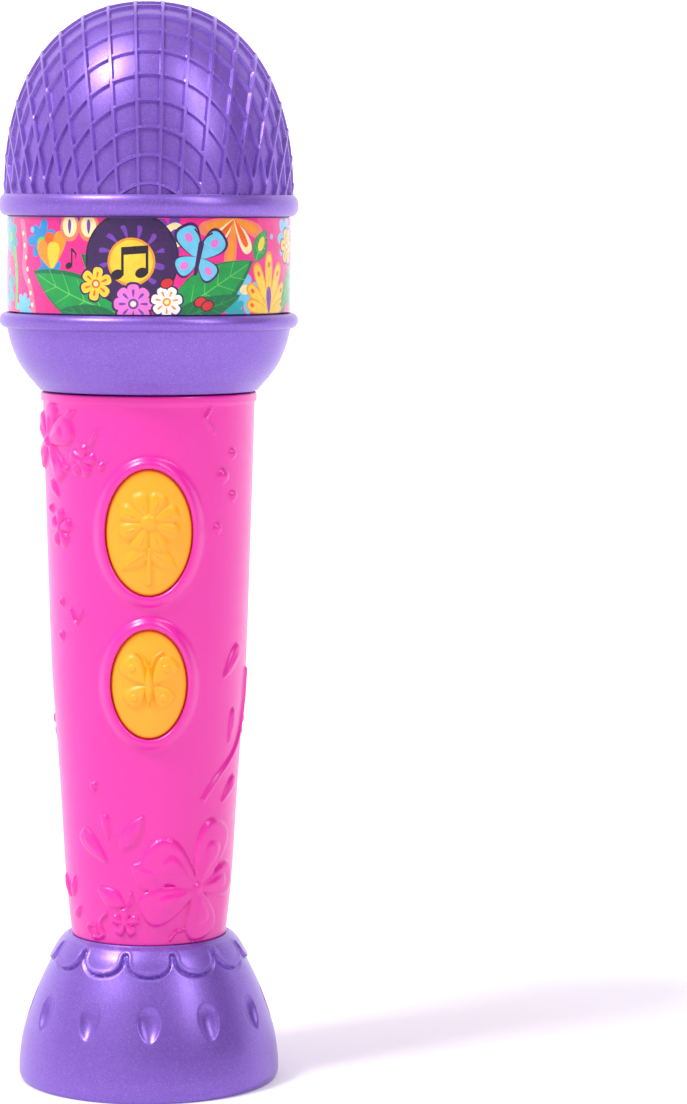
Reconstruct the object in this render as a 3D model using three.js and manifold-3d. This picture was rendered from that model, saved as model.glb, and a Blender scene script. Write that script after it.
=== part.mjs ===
// Toy sing-along microphone, in millimetres. +Z is up, the front with its two buttons faces -Y, and the
// origin is the centre of the base's standing face. A flared base holds the speaker, a two-shell handle
// holds the circuit board, the buttons and two AAA cells, and a hollow head carries the label and the dome.
import * as THREE from "three";
import { mergeVertices } from "three/addons/utils/BufferGeometryUtils.js";
import Module from "manifold-3d";

// ---- Driving dimensions ----
const GAP = 0.3; // clearance between neighbouring pieces
const ROUND = 32; // facets round a large shell
const SMALL_ROUND = 12; // facets round a screw or a boss

const TOTAL_HEIGHT = 228;
const WALL = 2.1; // handle wall

// Outer radius of each turned shell against height, as [radius, z].
const BASE_OUTLINE = [
  [27.2, 0], [27.72, 1.5], [27.6, 4.8], [26.83, 9.8], [25.3, 15.1], [23.27, 20.3], [20.9, 25.2],
  [19.3, 28.4], [17.81, 30.3], [17, 31.2],
];
const BASE_INSIDE = [
  [14, 31.2], [14, 28.8], [16.3, 28.8], [20.2, 22.4], [23.3, 14.6], [25.2, 7.2], [25.6, 3.6], [25.6, 0],
];
const HANDLE_OUTLINE = [
  [16.45, 31.5], [17.7, 44], [18.74, 61.5], [19.62, 74.4], [20.6, 88.5], [21.42, 112.9], [22.1, 136],
  [22.3, 144.3], [22.65, 144.9], [22.75, 146.6],
];
const BOWL_OUTLINE = [
  [22.9, 146.9], [25.34, 149.8], [27.16, 152.4], [28.34, 154.9], [29.2, 157.4], [29.8, 160],
];
const BOWL_INSIDE = [
  [28, 163.3], [28, 160.2], [27, 156], [25, 152.2], [22.4, 149.3], [19.9, 149.3], [19.9, 146.9],
];
const LOWER_BEAD = { low: 160, high: 163.3, seat: 29.8, proud: 31.4 };
const UPPER_BEAD = { low: 183.4, high: 188, seat: 29.9, proud: 31.42 };
const DOME = { radius: 30.3, foot: 185.5, shoulder: 188, wall: 2, power: 2.25 };
const LABEL = { inner: 29.6, outer: 29.86, low: 163.6, high: 183.1 };

// Push buttons: half width, half height and centre height of each cap, then the raised rim round it.
const UPPER_BUTTON = { name: "upper", halfWidth: 8.81, halfHeight: 12.94, z: 118.5 };
const LOWER_BUTTON = { name: "lower", halfWidth: 7.74, halfHeight: 11.27, z: 86.9 };
const BEZEL_WIDTH = 2;
const BEZEL_PROUD = 1.1;
const CAP_PROUD = 0.5;

// Depths along Y inside the front of the handle.
const SLEEVE_END = -15.5; // inner end of the guide round each button
const FLANGE = { front: -15.2, back: -13.9, lip: 1.4 };
const POST = { radius: 2.6, end: -11.9 };
const PAD = { top: -11.6, half: 5.5, thick: 0.8 };
const BOARD = { front: -8.6, back: -7, halfWidth: 12, low: 67, high: 135.5 };
const BOARD_SCREWS = [[-9.3, 132.2], [9.3, 132.2], [-6, 70.5], [6, 70.5]];

// Handle screws, as [x, z].
const HANDLE_SCREWS = [[-9.5, 138.5], [9.5, 138.5], [-8, 46], [8, 46]];
const SCREW = { head: 2.4, headHeight: 1.5, shank: 1.25 };
const BOARD_SCREW = { head: 2, headHeight: 1.2, shank: 0.95 };
const DOOR_SCREW = { head: 2.4, headHeight: 1.1, shank: 1.2 };
const PILOT = 1.5; // hole that a screw's thread bites into
const CLEAR = 1.6; // hole that a screw's shank passes through
const WELL = 2.8; // well round a screw's head
const BOSS = 3; // outside of a pillar that takes a screw
const HANDLE_SCREW_SEAT = 6;

// Battery compartment and its door, at the back.
const DOOR = { halfWidth: 11.5, low: 64, high: 128, thick: 2 };
const BAY = { halfWidth: 10.9, low: 72, high: 122, floor: 2, wall: 1.3 };
const DOOR_SCREWS = [67.8, 124.4];
const CELL = { radius: 5.1, length: 44.1, nub: 0.9, nubRadius: 1.9, x: 5.4, y: 7.6 };
const PLATE = { thick: 0.4, half: 4, gap: 0.3 };
const SPRING = { height: 3.6, radius: 3.4, narrowing: 0.9, wire: 0.35, turns: 3 };

// Power switch, at the back above the door. It slides up to switch on.
const SWITCH = { z: 136.1, travel: 3, slotHalf: 1.8, slotHalfHeight: 3.4 };
const KNOB = { halfWidth: 1.5, halfHeight: 1.6, foot: 15.8 };
const SWITCH_BODY = { half: 4.2, front: 12.8, back: 17, below: 5.6, above: 5.4 };
const FINGER = { halfWidth: 3.8, halfHeight: 5, deep: 0.9 }; // hollow round the knob

// Speaker and base plate.
const PLATE_UNDER = 0.8;
const PLATE_THICK = 2;
const PLATE_RADIUS = 25.3;
const BASE_SCREW_RING = 22.4;
const BASE_SCREW_ANGLES = [90, 210, 330];
const BASE_SCREW_SEAT = 2.5;
const SPEAKER_WALL = { inner: 18.3, outer: 19.3, high: 5.4 };
const SOUND_SLOTS = { places: [-10, -5, 0, 5, 10], halfWidth: 1.1, reach: 14.5 };
const BASKET = [
  [16.6, 3.1], [18, 3.1], [18, 4.3], [16.9, 4.3], [14.6, 8.2], [4.5, 8.2], [4.5, 7.5], [14.1, 7.5],
  [16.2, 4],
];
const CONE = [
  [0, 4.4], [3.4, 5.2], [5.4, 6.2], [13, 3.9], [14.6, 4.3], [15.8, 3.3], [15.8, 3.7], [14.6, 4.8], [13, 4.4],
  [5.6, 6.8], [0, 6.8],
];
const MAGNET = { radius: 9, low: 8.5, high: 12.6 };
const SPEAKER_ROUND = 24;

// ---- Materials ----
function finish(color, roughness, metalness = 0) {
  return new THREE.MeshStandardMaterial({ color, roughness, metalness });
}

const materials = {
  purple: finish(0x6b47bd, 0.38, 0.25),
  pink: finish(0xf549b8, 0.3),
  orange: finish(0xffa726, 0.5),
  label: finish(0xe8388a, 0.2),
  black: finish(0x1d1d20, 0.5),
  steel: finish(0xb9bcc0, 0.3, 0.9),
  board: finish(0x1f6f3c, 0.5),
  silicone: finish(0xd9d9d6, 0.7),
  paper: finish(0x2a2a2c, 0.9),
  cell: finish(0x3f8f4a, 0.35),
  redWire: finish(0xc8281e, 0.5),
  blackWire: finish(0x1c1c1c, 0.5),
  yellowWire: finish(0xe0b81c, 0.5),
};

// ---- Solids ----
const wasm = await Module();
wasm.setup();

// A closed three.js geometry as a solid for joining and cutting, turned right side out.
function solid(geometry) {
  const bare = geometry.index ? geometry.toNonIndexed() : geometry.clone();
  bare.deleteAttribute("normal");
  bare.deleteAttribute("uv");
  const merged = mergeVertices(bare, 1e-4);
  const vertProperties = merged.attributes.position.array;
  const triVerts = new Uint32Array(merged.index.array);
  const made = new wasm.Manifold(new wasm.Mesh({ numProp: 3, vertProperties, triVerts }));
  if (made.volume() > 0) return made;
  for (let i = 0; i < triVerts.length; i += 3) {
    [triVerts[i + 1], triVerts[i + 2]] = [triVerts[i + 2], triVerts[i + 1]];
  }
  return new wasm.Manifold(new wasm.Mesh({ numProp: 3, vertProperties, triVerts }));
}

// A solid of revolution about +Z from [radius, z] points, which start and end on the axis or close up.
function turned(outline, facets = ROUND) {
  const points = outline.map(([radius, z]) => new THREE.Vector2(radius, z));
  const closed = outline[0][0] > 0 || outline.at(-1)[0] > 0;
  if (closed) points.push(points[0].clone());
  return solid(new THREE.LatheGeometry(points, facets).rotateX(Math.PI / 2));
}

// A box given by its lowest and highest corner.
function block([x0, y0, z0], [x1, y1, z1]) {
  const box = new THREE.BoxGeometry(x1 - x0, y1 - y0, z1 - z0);
  return solid(box.translate((x0 + x1) / 2, (y0 + y1) / 2, (z0 + z1) / 2));
}

// A rod along Y at (x, z), from y0 to y1.
function rodY(radius, x, z, y0, y1, facets = SMALL_ROUND) {
  return solid(new THREE.CylinderGeometry(radius, radius, y1 - y0, facets).translate(x, (y0 + y1) / 2, z));
}

// A rod along Z at (x, y), from z0 to z1.
function rodZ(radius, x, y, z0, z1, facets = SMALL_ROUND) {
  const rod = new THREE.CylinderGeometry(radius, radius, z1 - z0, facets).rotateX(Math.PI / 2);
  return solid(rod.translate(x, y, (z0 + z1) / 2));
}

// An upright oval prism centred on x = 0, from y0 to y1.
function ovalY(halfWidth, halfHeight, z, y0, y1) {
  const shape = new THREE.Shape().absellipse(0, 0, halfWidth, halfHeight, 0, Math.PI * 2, false, 0);
  const options = { depth: y1 - y0, bevelEnabled: false, curveSegments: 16 };
  const prism = new THREE.ExtrudeGeometry(shape, options).rotateX(Math.PI / 2);
  return solid(prism.translate(0, y1, z));
}

// A round wire along a smooth line through the points.
function wire(points, radius, steps, sides = 8) {
  const path = new THREE.CatmullRomCurve3(points.map((p) => new THREE.Vector3(...p)));
  return wireAlong(path, radius, steps, sides);
}

function wireAlong(path, radius, steps, sides) {
  const section = new THREE.Shape();
  for (let i = 0; i < sides; i++) {
    const angle = (2 * Math.PI * i) / sides;
    const [u, v] = [radius * Math.cos(angle), radius * Math.sin(angle)];
    if (i === 0) section.moveTo(u, v);
    else section.lineTo(u, v);
  }
  section.closePath();
  return solid(new THREE.ExtrudeGeometry(section, { steps, extrudePath: path, bevelEnabled: false }));
}

const joined = (first, ...others) => others.reduce((sum, other) => sum.add(other), first);
const cut = (first, ...others) => others.reduce((rest, other) => rest.subtract(other), first);

const model = new THREE.Group();

function place(name, made, material) {
  const { vertProperties, triVerts } = made.getMesh();
  const geometry = new THREE.BufferGeometry();
  geometry.setAttribute("position", new THREE.BufferAttribute(vertProperties, 3));
  geometry.setIndex(new THREE.BufferAttribute(triVerts, 1));
  const mesh = new THREE.Mesh(geometry, material);
  mesh.name = name;
  model.add(mesh);
}

// ---- Shared shapes ----
// Points of a half-round bead standing proud of a wall, from its low edge to its high edge.
function bead({ low, high, seat, proud }) {
  const middle = (low + high) / 2;
  return [-90, -50, -20, 20, 50, 90].map((degrees) => {
    const angle = THREE.MathUtils.degToRad(degrees);
    return [seat + (proud - seat) * Math.cos(angle), middle + ((high - low) / 2) * Math.sin(angle)];
  });
}

// The handle's outer body, grown by an amount, as a solid of revolution.
function handleBody(grow) {
  const [bottom, top] = [HANDLE_OUTLINE[0][1], HANDLE_OUTLINE.at(-1)[1]];
  const sides = HANDLE_OUTLINE.map(([radius, z]) => [radius + grow, z]);
  return turned([[0, bottom], ...sides, [0, top]]);
}

// The handle's outer radius at a height.
function handleRadius(z) {
  const above = HANDLE_OUTLINE.findIndex(([, height]) => height >= z);
  const [[r0, z0], [r1, z1]] = HANDLE_OUTLINE.slice(above - 1, above + 1);
  return THREE.MathUtils.mapLinear(z, z0, z1, r0, r1);
}

// A pan-head screw along Y with its head's underside at y = seat. It points to -Y, or to +Y when turned.
function screwY(x, z, seat, tip, { head, headHeight, shank } = SCREW) {
  const way = Math.sign(tip - seat);
  const span = (a, b) => [Math.min(a, b), Math.max(a, b)];
  return joined(
    rodY(head, x, z, ...span(seat, seat - way * headHeight)),
    rodY(shank, x, z, ...span(seat - way * 0.5, tip)),
  );
}

// ---- Head ----
function dome() {
  const { radius, foot, shoulder, wall, power } = DOME;
  const cap = (shrink, low, steps) => {
    const points = [[0, low], [radius - shrink, low]];
    for (let i = 0; i < steps; i++) {
      const angle = (Math.PI / 2) * (i / steps);
      const across = (radius - shrink) * Math.cos(angle) ** (2 / power);
      points.push([across, shoulder + (TOTAL_HEIGHT - shoulder - shrink) * Math.sin(angle) ** (2 / power)]);
    }
    return turned([...points, [0, TOTAL_HEIGHT - shrink]]);
  };
  return cut(cap(0, foot, 10), cap(wall, foot - 1, 6));
}

// The drum that carries the label, with the upper bead and the rebate that the dome sits in.
function collar() {
  const lip = DOME.radius + GAP;
  const rebate = DOME.foot - GAP;
  return turned([
    [27.7, 160.4], [27.7, LABEL.low], [29.4, LABEL.low], [29.4, UPPER_BEAD.low],
    ...bead(UPPER_BEAD).slice(0, 5),
    [lip, UPPER_BEAD.high - 0.3], [lip, rebate], [27.6, rebate], [25.7, rebate - 2], [25.7, 160.4],
  ]);
}

function bowl() {
  return turned([...BOWL_OUTLINE, ...bead(LOWER_BEAD).slice(1), ...BOWL_INSIDE]);
}

function label() {
  const { inner, outer, low, high } = LABEL;
  return turned([[outer, low], [outer, high], [inner, high], [inner, low]]);
}

// ---- Handle ----
// The whole handle tube with the grooved necks that trap the bowl above and the base below.
function handleTube() {
  const inside = HANDLE_OUTLINE.slice(1, 8).map(([radius, z]) => [radius - WALL, z]).reverse();
  const topNeck = [[19.6, 146.6], [19.6, 149.6], [21.8, 149.6], [21.8, 151.6], [17.2, 151.6], [17.2, 144.5]];
  const bottomNeck = [
    [14.5, 34.5], [11.6, 31], [11.6, 26.5], [15.6, 26.5], [15.6, 28.5], [13.6, 28.5], [13.6, 31.5],
  ];
  return turned([...HANDLE_OUTLINE, ...topNeck, ...inside, ...bottomNeck]);
}

const frontHalf = () => block([-40, -40, 0], [40, -0.05, 200]);
const backHalf = () => block([-40, 0.05, 0], [40, 40, 200]);

function handleFront() {
  const inner = handleBody(-WALL + 0.4);
  let shell = handleTube();
  for (const { halfWidth, halfHeight, z } of [UPPER_BUTTON, LOWER_BUTTON]) {
    const [wide, high] = [halfWidth + GAP, halfHeight + GAP];
    const rim = ovalY(wide + BEZEL_WIDTH, high + BEZEL_WIDTH, z, -30, -10);
    const bezel = rim.intersect(handleBody(BEZEL_PROUD)).subtract(inner);
    const sleeve = ovalY(wide + 1.1, high + 1.1, z, -20, SLEEVE_END);
    shell = joined(shell, bezel, sleeve.intersect(handleBody(-0.5)));
    shell = cut(shell, ovalY(wide, high, z, -30, -10));
  }
  for (const [x, z] of HANDLE_SCREWS) {
    shell = joined(shell, rodY(BOSS, x, z, -30, -0.2).intersect(handleBody(-0.5)));
    shell = cut(shell, rodY(PILOT, x, z, -10, 1));
  }
  for (const [x, z] of BOARD_SCREWS) {
    shell = joined(shell, rodY(2.4, x, z, -30, BOARD.front - GAP).intersect(handleBody(-0.5)));
    shell = cut(shell, rodY(1.2, x, z, -14.5, -5));
  }
  return shell.intersect(frontHalf());
}

function handleBack() {
  const { halfWidth, low, high } = DOOR;
  const bayOutside = BAY.halfWidth + BAY.wall;
  const bay = block([-bayOutside, 0.7, BAY.low - 1.5], [bayOutside, 30, BAY.high + 1.5]);
  const frame = block([-halfWidth - 1.7, 1, low - 1.8], [halfWidth + 1.7, 30, high + 1.8]);
  let shell = joined(handleTube(), bay.intersect(handleBody(-0.5)));
  shell = shell.add(frame.intersect(handleBody(-0.5).subtract(handleBody(-4))));
  for (const z of DOOR_SCREWS) {
    const surface = handleRadius(z);
    shell = shell.add(rodY(BOSS, 0, z, surface - 10.5, surface - 2.5));
  }
  const recess = handleBody(3).subtract(handleBody(-DOOR.thick - GAP));
  const doorway = block([-halfWidth - GAP, 1, low - GAP], [halfWidth + GAP, 40, high + GAP]);
  shell = cut(shell, recess.intersect(doorway));
  shell = cut(shell, block([-BAY.halfWidth, BAY.floor, BAY.low], [BAY.halfWidth, 40, BAY.high]));
  for (const z of DOOR_SCREWS) {
    shell = cut(shell, rodY(PILOT, 0, z, handleRadius(z) - 9.6, 30));
  }
  for (const [x, z] of HANDLE_SCREWS) {
    shell = joined(shell, rodY(BOSS + 0.6, x, z, HANDLE_SCREW_SEAT - 2, 30).intersect(handleBody(-0.5)));
    shell = cut(shell, rodY(WELL, x, z, HANDLE_SCREW_SEAT, 30), rodY(CLEAR, x, z, 0, 30));
  }
  return switchOpening(shell).intersect(backHalf());
}

// Ribs that hold the switch, its shallow finger recess and the slot for its knob.
function switchOpening(shell) {
  const { z, slotHalf, slotHalfHeight } = SWITCH;
  const { half, front, below, above } = SWITCH_BODY;
  const floor = handleRadius(z) - FINGER.deep;
  const rib = (low) => block([-half, front - 0.2, low], [half, 30, low + 1]).intersect(handleBody(-0.5));
  const [wide, high] = [FINGER.halfWidth, FINGER.halfHeight];
  const finger = block([-wide, floor, z - high], [wide, 30, z + high]);
  const slot = block([-slotHalf, 10, z - slotHalfHeight], [slotHalf, 30, z + slotHalfHeight]);
  return cut(joined(shell, rib(z - below - GAP - 1), rib(z + above + GAP)), finger, slot);
}

// ---- Buttons ----
function buttonCap({ halfWidth, halfHeight, z }) {
  const cap = ovalY(halfWidth, halfHeight, z, -30, FLANGE.front + 0.2).intersect(handleBody(CAP_PROUD));
  const flange = ovalY(halfWidth + FLANGE.lip, halfHeight + FLANGE.lip, z, FLANGE.front, FLANGE.back);
  return joined(cap, flange, rodY(POST.radius, 0, z, FLANGE.back - 0.2, POST.end));
}

// A silicone switch pad: a square foot on the board and a round dome under the button's post.
function buttonPad({ z }) {
  const foot = BOARD.front - GAP;
  const rise = foot - PAD.top;
  const outline = [[0, 0], [4.2, 0], [4.2, 0.9], [2.9, 1.9], [2.3, 2], [2.3, rise], [0, rise]];
  const points = outline.map(([radius, height]) => new THREE.Vector2(radius, height));
  const raised = new THREE.LatheGeometry(points, 16).rotateX(Math.PI);
  const skirt = block([-PAD.half, foot - PAD.thick, z - PAD.half], [PAD.half, foot, z + PAD.half]);
  return joined(solid(raised.translate(0, foot, z)), skirt);
}

// ---- Electronics ----
function board() {
  const { front, back, halfWidth, low, high } = BOARD;
  const plate = block([-halfWidth, front, low], [halfWidth, back, high]);
  return BOARD_SCREWS.reduce((rest, [x, z]) => rest.subtract(rodY(1.4, x, z, -20, 0)), plate);
}

function soundChip() {
  return turned([[0, 0], [4.2, 0], [3.4, 0.9], [1.8, 1.4], [0, 1.5]], 20);
}

function powerSwitch() {
  const { z, slotHalf, slotHalfHeight } = SWITCH;
  const { half, front, back, below, above } = SWITCH_BODY;
  const can = block([-half, front, z - below], [half, back, z + above]);
  return cut(can, block([-slotHalf, 15.4, z - slotHalfHeight], [slotHalf, 18, z + slotHalfHeight]));
}

function switchKnob() {
  const { halfWidth, halfHeight, foot } = KNOB;
  const middle = SWITCH.z - SWITCH.travel / 2;
  const outside = handleRadius(SWITCH.z) - 0.1;
  return block([-halfWidth, foot, middle - halfHeight], [halfWidth, outside, middle + halfHeight]);
}

// ---- Battery compartment ----
function batteryDoor() {
  const { halfWidth, low, high, thick } = DOOR;
  const skin = handleBody(0).subtract(handleBody(-thick));
  const panel = skin.intersect(block([-halfWidth, 5, low], [halfWidth, 40, high]));
  return DOOR_SCREWS.reduce((rest, z) => {
    const surface = handleRadius(z);
    return cut(rest, rodY(WELL, 0, z, surface - 1.3, 40), rodY(CLEAR, 0, z, 0, 40));
  }, panel);
}

// A AAA cell standing on its flat end, with its nub up, or down when turned over.
function cell(x, low, nubUp) {
  const { radius, length, nub, nubRadius, y } = CELL;
  const shoulder = length - nub;
  const outline = [
    [0, 0], [radius, 0], [radius, shoulder], [nubRadius, shoulder], [nubRadius, length], [0, length],
  ];
  const points = outline.map(([r, h]) => new THREE.Vector2(r, nubUp ? h : length - h));
  return solid(new THREE.LatheGeometry(points, 20).rotateX(Math.PI / 2).translate(x, y, low));
}

// A contact plate that reaches from the cell at x0 to the one at x1.
function contactPlate(x0, x1, low) {
  const { half, thick } = PLATE;
  return block([x0 - half, CELL.y - half, low], [x1 + half, CELL.y + half, low + thick]);
}

class Coil extends THREE.Curve {
  constructor(x, low) {
    super();
    this.x = x;
    this.low = low;
  }
  getPoint(t, target = new THREE.Vector3()) {
    const angle = 2 * Math.PI * SPRING.turns * t;
    const radius = SPRING.radius - SPRING.narrowing * t;
    const rise = (SPRING.height - 2 * SPRING.wire) * t + SPRING.wire;
    return target.set(this.x + radius * Math.cos(angle), CELL.y + radius * Math.sin(angle), this.low + rise);
  }
}

const spring = (x, low) => wireAlong(new Coil(x, low), SPRING.wire, 27, 6);

// ---- Base and speaker ----
const onRing = (degrees) => {
  const angle = THREE.MathUtils.degToRad(degrees);
  return [BASE_SCREW_RING * Math.cos(angle), BASE_SCREW_RING * Math.sin(angle)];
};

function baseShell() {
  const inset = BASE_OUTLINE.slice(1).map(([radius, z]) => [radius - 0.6, z]);
  const filled = turned([[0, 0.5], ...inset, [0, 31.2]]);
  let shell = turned([...BASE_OUTLINE, ...BASE_INSIDE]);
  for (const degrees of BASE_SCREW_ANGLES) {
    const [x, y] = onRing(degrees);
    shell = shell.add(rodZ(2.8, x, y, 4.6, 17).intersect(filled));
    shell = cut(shell, rodZ(PILOT, x, y, 0, 12.5));
  }
  return shell;
}

function basePlate() {
  const top = PLATE_UNDER + PLATE_THICK;
  const { inner, outer, high } = SPEAKER_WALL;
  const foot = top - 0.2;
  const disc = turned([[0, PLATE_UNDER], [PLATE_RADIUS, PLATE_UNDER], [PLATE_RADIUS, top], [0, top]]);
  const wall = turned([[inner, foot], [outer, foot], [outer, high], [inner, high]], SPEAKER_ROUND);
  const within = turned([[0, 0], [PLATE_RADIUS - 0.4, 0], [PLATE_RADIUS - 0.4, 10], [0, 10]]);
  let plate = joined(disc, wall);
  for (const degrees of BASE_SCREW_ANGLES) {
    const [x, y] = onRing(degrees);
    plate = joined(plate, rodZ(BOSS + 0.6, x, y, foot, 4.3).intersect(within));
    plate = cut(plate, rodZ(WELL - 0.1, x, y, 0, BASE_SCREW_SEAT + 0.1), rodZ(CLEAR, x, y, 0, 10));
  }
  plate = cut(plate, turned([[0, top], [inner, top], [inner, 9], [0, 9]], SPEAKER_ROUND));
  return SOUND_SLOTS.places.reduce((rest, x) => rest.subtract(soundSlot(x)), plate);
}

function soundSlot(x) {
  const { halfWidth, reach } = SOUND_SLOTS;
  const half = Math.sqrt(reach ** 2 - x ** 2);
  return block([x - halfWidth, -half, -2], [x + halfWidth, half, 8]);
}

// A base screw standing along +Z, its head's underside at the seat.
function baseScrew(degrees) {
  const [x, y] = onRing(degrees);
  return joined(
    rodZ(SCREW.head, x, y, BASE_SCREW_SEAT - SCREW.headHeight, BASE_SCREW_SEAT),
    rodZ(SCREW.shank, x, y, BASE_SCREW_SEAT - 0.5, 12),
  );
}

function speakerMagnet() {
  const { radius, low, high } = MAGNET;
  return turned([[0, low], [radius, low], [radius, high], [0, high]], SPEAKER_ROUND);
}

// ---- Assembly ----
place("head_dome", dome(), materials.purple);
place("head_collar", collar(), materials.purple);
place("label_band", label(), materials.label);
place("head_bowl", bowl(), materials.purple);

place("handle_front", handleFront(), materials.pink);
place("handle_back", handleBack(), materials.pink);
HANDLE_SCREWS.forEach(([x, z], i) => {
  place("handle_screw_" + (i + 1), screwY(x, z, HANDLE_SCREW_SEAT + 0.1, -8), materials.steel);
});

for (const button of [UPPER_BUTTON, LOWER_BUTTON]) {
  place(button.name + "_button", buttonCap(button), materials.orange);
  place(button.name + "_button_pad", buttonPad(button), materials.silicone);
}

place("circuit_board", board(), materials.board);
BOARD_SCREWS.forEach(([x, z], i) => {
  place("board_screw_" + (i + 1), screwY(x, z, BOARD.back + 0.1, -13, BOARD_SCREW), materials.steel);
});
const chip = new THREE.Matrix4().makeRotationX(-Math.PI / 2).setPosition(0, BOARD.back + 0.1, 101);
place("sound_chip", soundChip(), materials.black);
model.children.at(-1).applyMatrix4(chip);
place("switch_body", powerSwitch(), materials.steel);
place("switch_knob", switchKnob(), materials.black);

place("battery_door", batteryDoor(), materials.pink);
DOOR_SCREWS.forEach((z, i) => {
  const surface = handleRadius(z);
  const screw = screwY(0, z, surface - 1.2, surface - 9, DOOR_SCREW);
  place(["door_screw_lower", "door_screw_upper"][i], screw, materials.steel);
});
const lowPlate = BAY.low + PLATE.gap;
const highPlate = BAY.high - PLATE.gap - PLATE.thick;
const lowRest = lowPlate + PLATE.thick + GAP;
place("battery_1", cell(-CELL.x, lowRest + SPRING.height + GAP, true), materials.cell);
place("battery_2", cell(CELL.x, lowRest, false), materials.cell);
place("battery_spring_1", spring(-CELL.x, lowRest), materials.steel);
place("battery_spring_2", spring(CELL.x, highPlate - GAP - SPRING.height), materials.steel);
place("bridge_contact", contactPlate(-CELL.x, CELL.x, lowPlate), materials.steel);
place("positive_contact", contactPlate(-CELL.x, -CELL.x, highPlate), materials.steel);
place("negative_contact", contactPlate(CELL.x, CELL.x, highPlate), materials.steel);

place("base_shell", baseShell(), materials.purple);
place("base_plate", basePlate(), materials.purple);
BASE_SCREW_ANGLES.forEach((degrees, i) => {
  place("base_screw_" + (i + 1), baseScrew(degrees), materials.steel);
});
place("speaker_basket", turned(BASKET, SPEAKER_ROUND), materials.steel);
place("speaker_cone", turned(CONE, SPEAKER_ROUND), materials.paper);
place("speaker_magnet", speakerMagnet(), materials.black);

// Leads, each from its terminal to the board's back, clear of the bosses and the cells.
const LEAD_RADIUS = 0.6;

function lead(name, points, material) {
  place(name, wire(points, LEAD_RADIUS, 4 * (points.length - 1)), material);
}

// A speaker lead's way down one side, from the board through the handle's foot to the magnet's edge.
function speakerLead(side) {
  const way = [[3, -5.9, 76], [3, -3, 66], [2.4, -1, 48], [2.4, -1, 30], [8, -2, 17], [12.2, -2, 10]];
  return way.map(([x, y, z]) => [side * x, y, z]);
}

const positiveEnd = [-5.4, 4.6, 124.4];
const negativeEnd = [5.4, 4.6, 124.4];
const switchEnd = 134;
const positiveLead = [positiveEnd, [-6.6, 6, 128], [-6, 10, 132], [-2.4, 11.9, switchEnd]];
const switchLead = [[2.4, 11.9, switchEnd], [6, 6, 131], [7.2, 0, 126], [7.4, -5.9, 121]];
const negativeLead = [negativeEnd, [4.4, 1.5, 126], [2.6, -3, 122], [2.4, -5.9, 117]];
lead("battery_lead_positive", positiveLead, materials.redWire);
lead("switch_lead", switchLead, materials.redWire);
lead("battery_lead_negative", negativeLead, materials.blackWire);
lead("speaker_lead_1", speakerLead(-1), materials.yellowWire);
lead("speaker_lead_2", speakerLead(1), materials.blackWire);

export default model;
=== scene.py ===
# Toy hand microphone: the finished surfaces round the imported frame. Lengths are in millimetres until a mesh
# is made, +Z is up, the front faces -Y, and an angle round the toy is measured from the front towards +X.
from contextlib import contextmanager
from math import atan2, cos, degrees, pi, radians, sin, sqrt

import bmesh
import bpy
import numpy as np
from mathutils import Matrix, Vector
from mathutils.geometry import delaunay_2d_cdt


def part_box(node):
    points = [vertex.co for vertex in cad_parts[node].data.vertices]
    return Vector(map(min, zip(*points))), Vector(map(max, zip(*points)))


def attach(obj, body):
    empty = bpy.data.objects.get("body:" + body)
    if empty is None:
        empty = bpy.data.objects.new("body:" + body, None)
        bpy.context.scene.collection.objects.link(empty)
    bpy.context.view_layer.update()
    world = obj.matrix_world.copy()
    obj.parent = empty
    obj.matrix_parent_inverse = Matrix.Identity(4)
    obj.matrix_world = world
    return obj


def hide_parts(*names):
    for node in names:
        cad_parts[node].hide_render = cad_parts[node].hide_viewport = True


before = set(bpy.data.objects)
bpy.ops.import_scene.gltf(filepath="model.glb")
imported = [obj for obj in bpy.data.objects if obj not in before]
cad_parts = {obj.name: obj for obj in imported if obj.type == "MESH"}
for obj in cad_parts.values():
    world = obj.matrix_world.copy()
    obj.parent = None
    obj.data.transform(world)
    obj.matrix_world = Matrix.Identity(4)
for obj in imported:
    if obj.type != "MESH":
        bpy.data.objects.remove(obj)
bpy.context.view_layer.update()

MM = 0.001
TAU = 2 * pi


def node_box(node):
    """A node's lowest and highest corners, in millimetres."""
    low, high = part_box(node)
    return np.array(low) / MM, np.array(high) / MM


def height_range(node):
    low, high = node_box(node)
    return low[2], high[2]


# ---- Driving dimensions, from the frame where it holds them ----
TOTAL_HEIGHT = height_range("head_dome")[1]
BASE_TOP = height_range("base_shell")[1]
DOME_RADIUS = node_box("head_dome")[1][1]
DOME_SHOULDER = TOTAL_HEIGHT - 40
DOME_POWER = 2 / 2.25  # the dome is a superellipse, a little fuller than an ellipse
RIB_PITCH = 5.74  # along the dome's surface, on its two middle meridians
RIBS = 11  # each side of the top
RIB_TOP = 0.27  # half the width of a rib's crest
RIB_FOOT = 0.52  # half its width where it meets the dome
RIB_FOCUS = 68.0  # height of the point that every rib's plane passes through
RIB_PROUD = (0.78, 0.62)  # the ribs that run front to back stand a little higher

LABEL_LOW, LABEL_HIGH = height_range("label_band")
LABEL_RADIUS = node_box("label_band")[1][1]
LABEL_THICK = 0.24
LABEL_SECTORS = 30
SECTOR_STRIPS = 7

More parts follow.
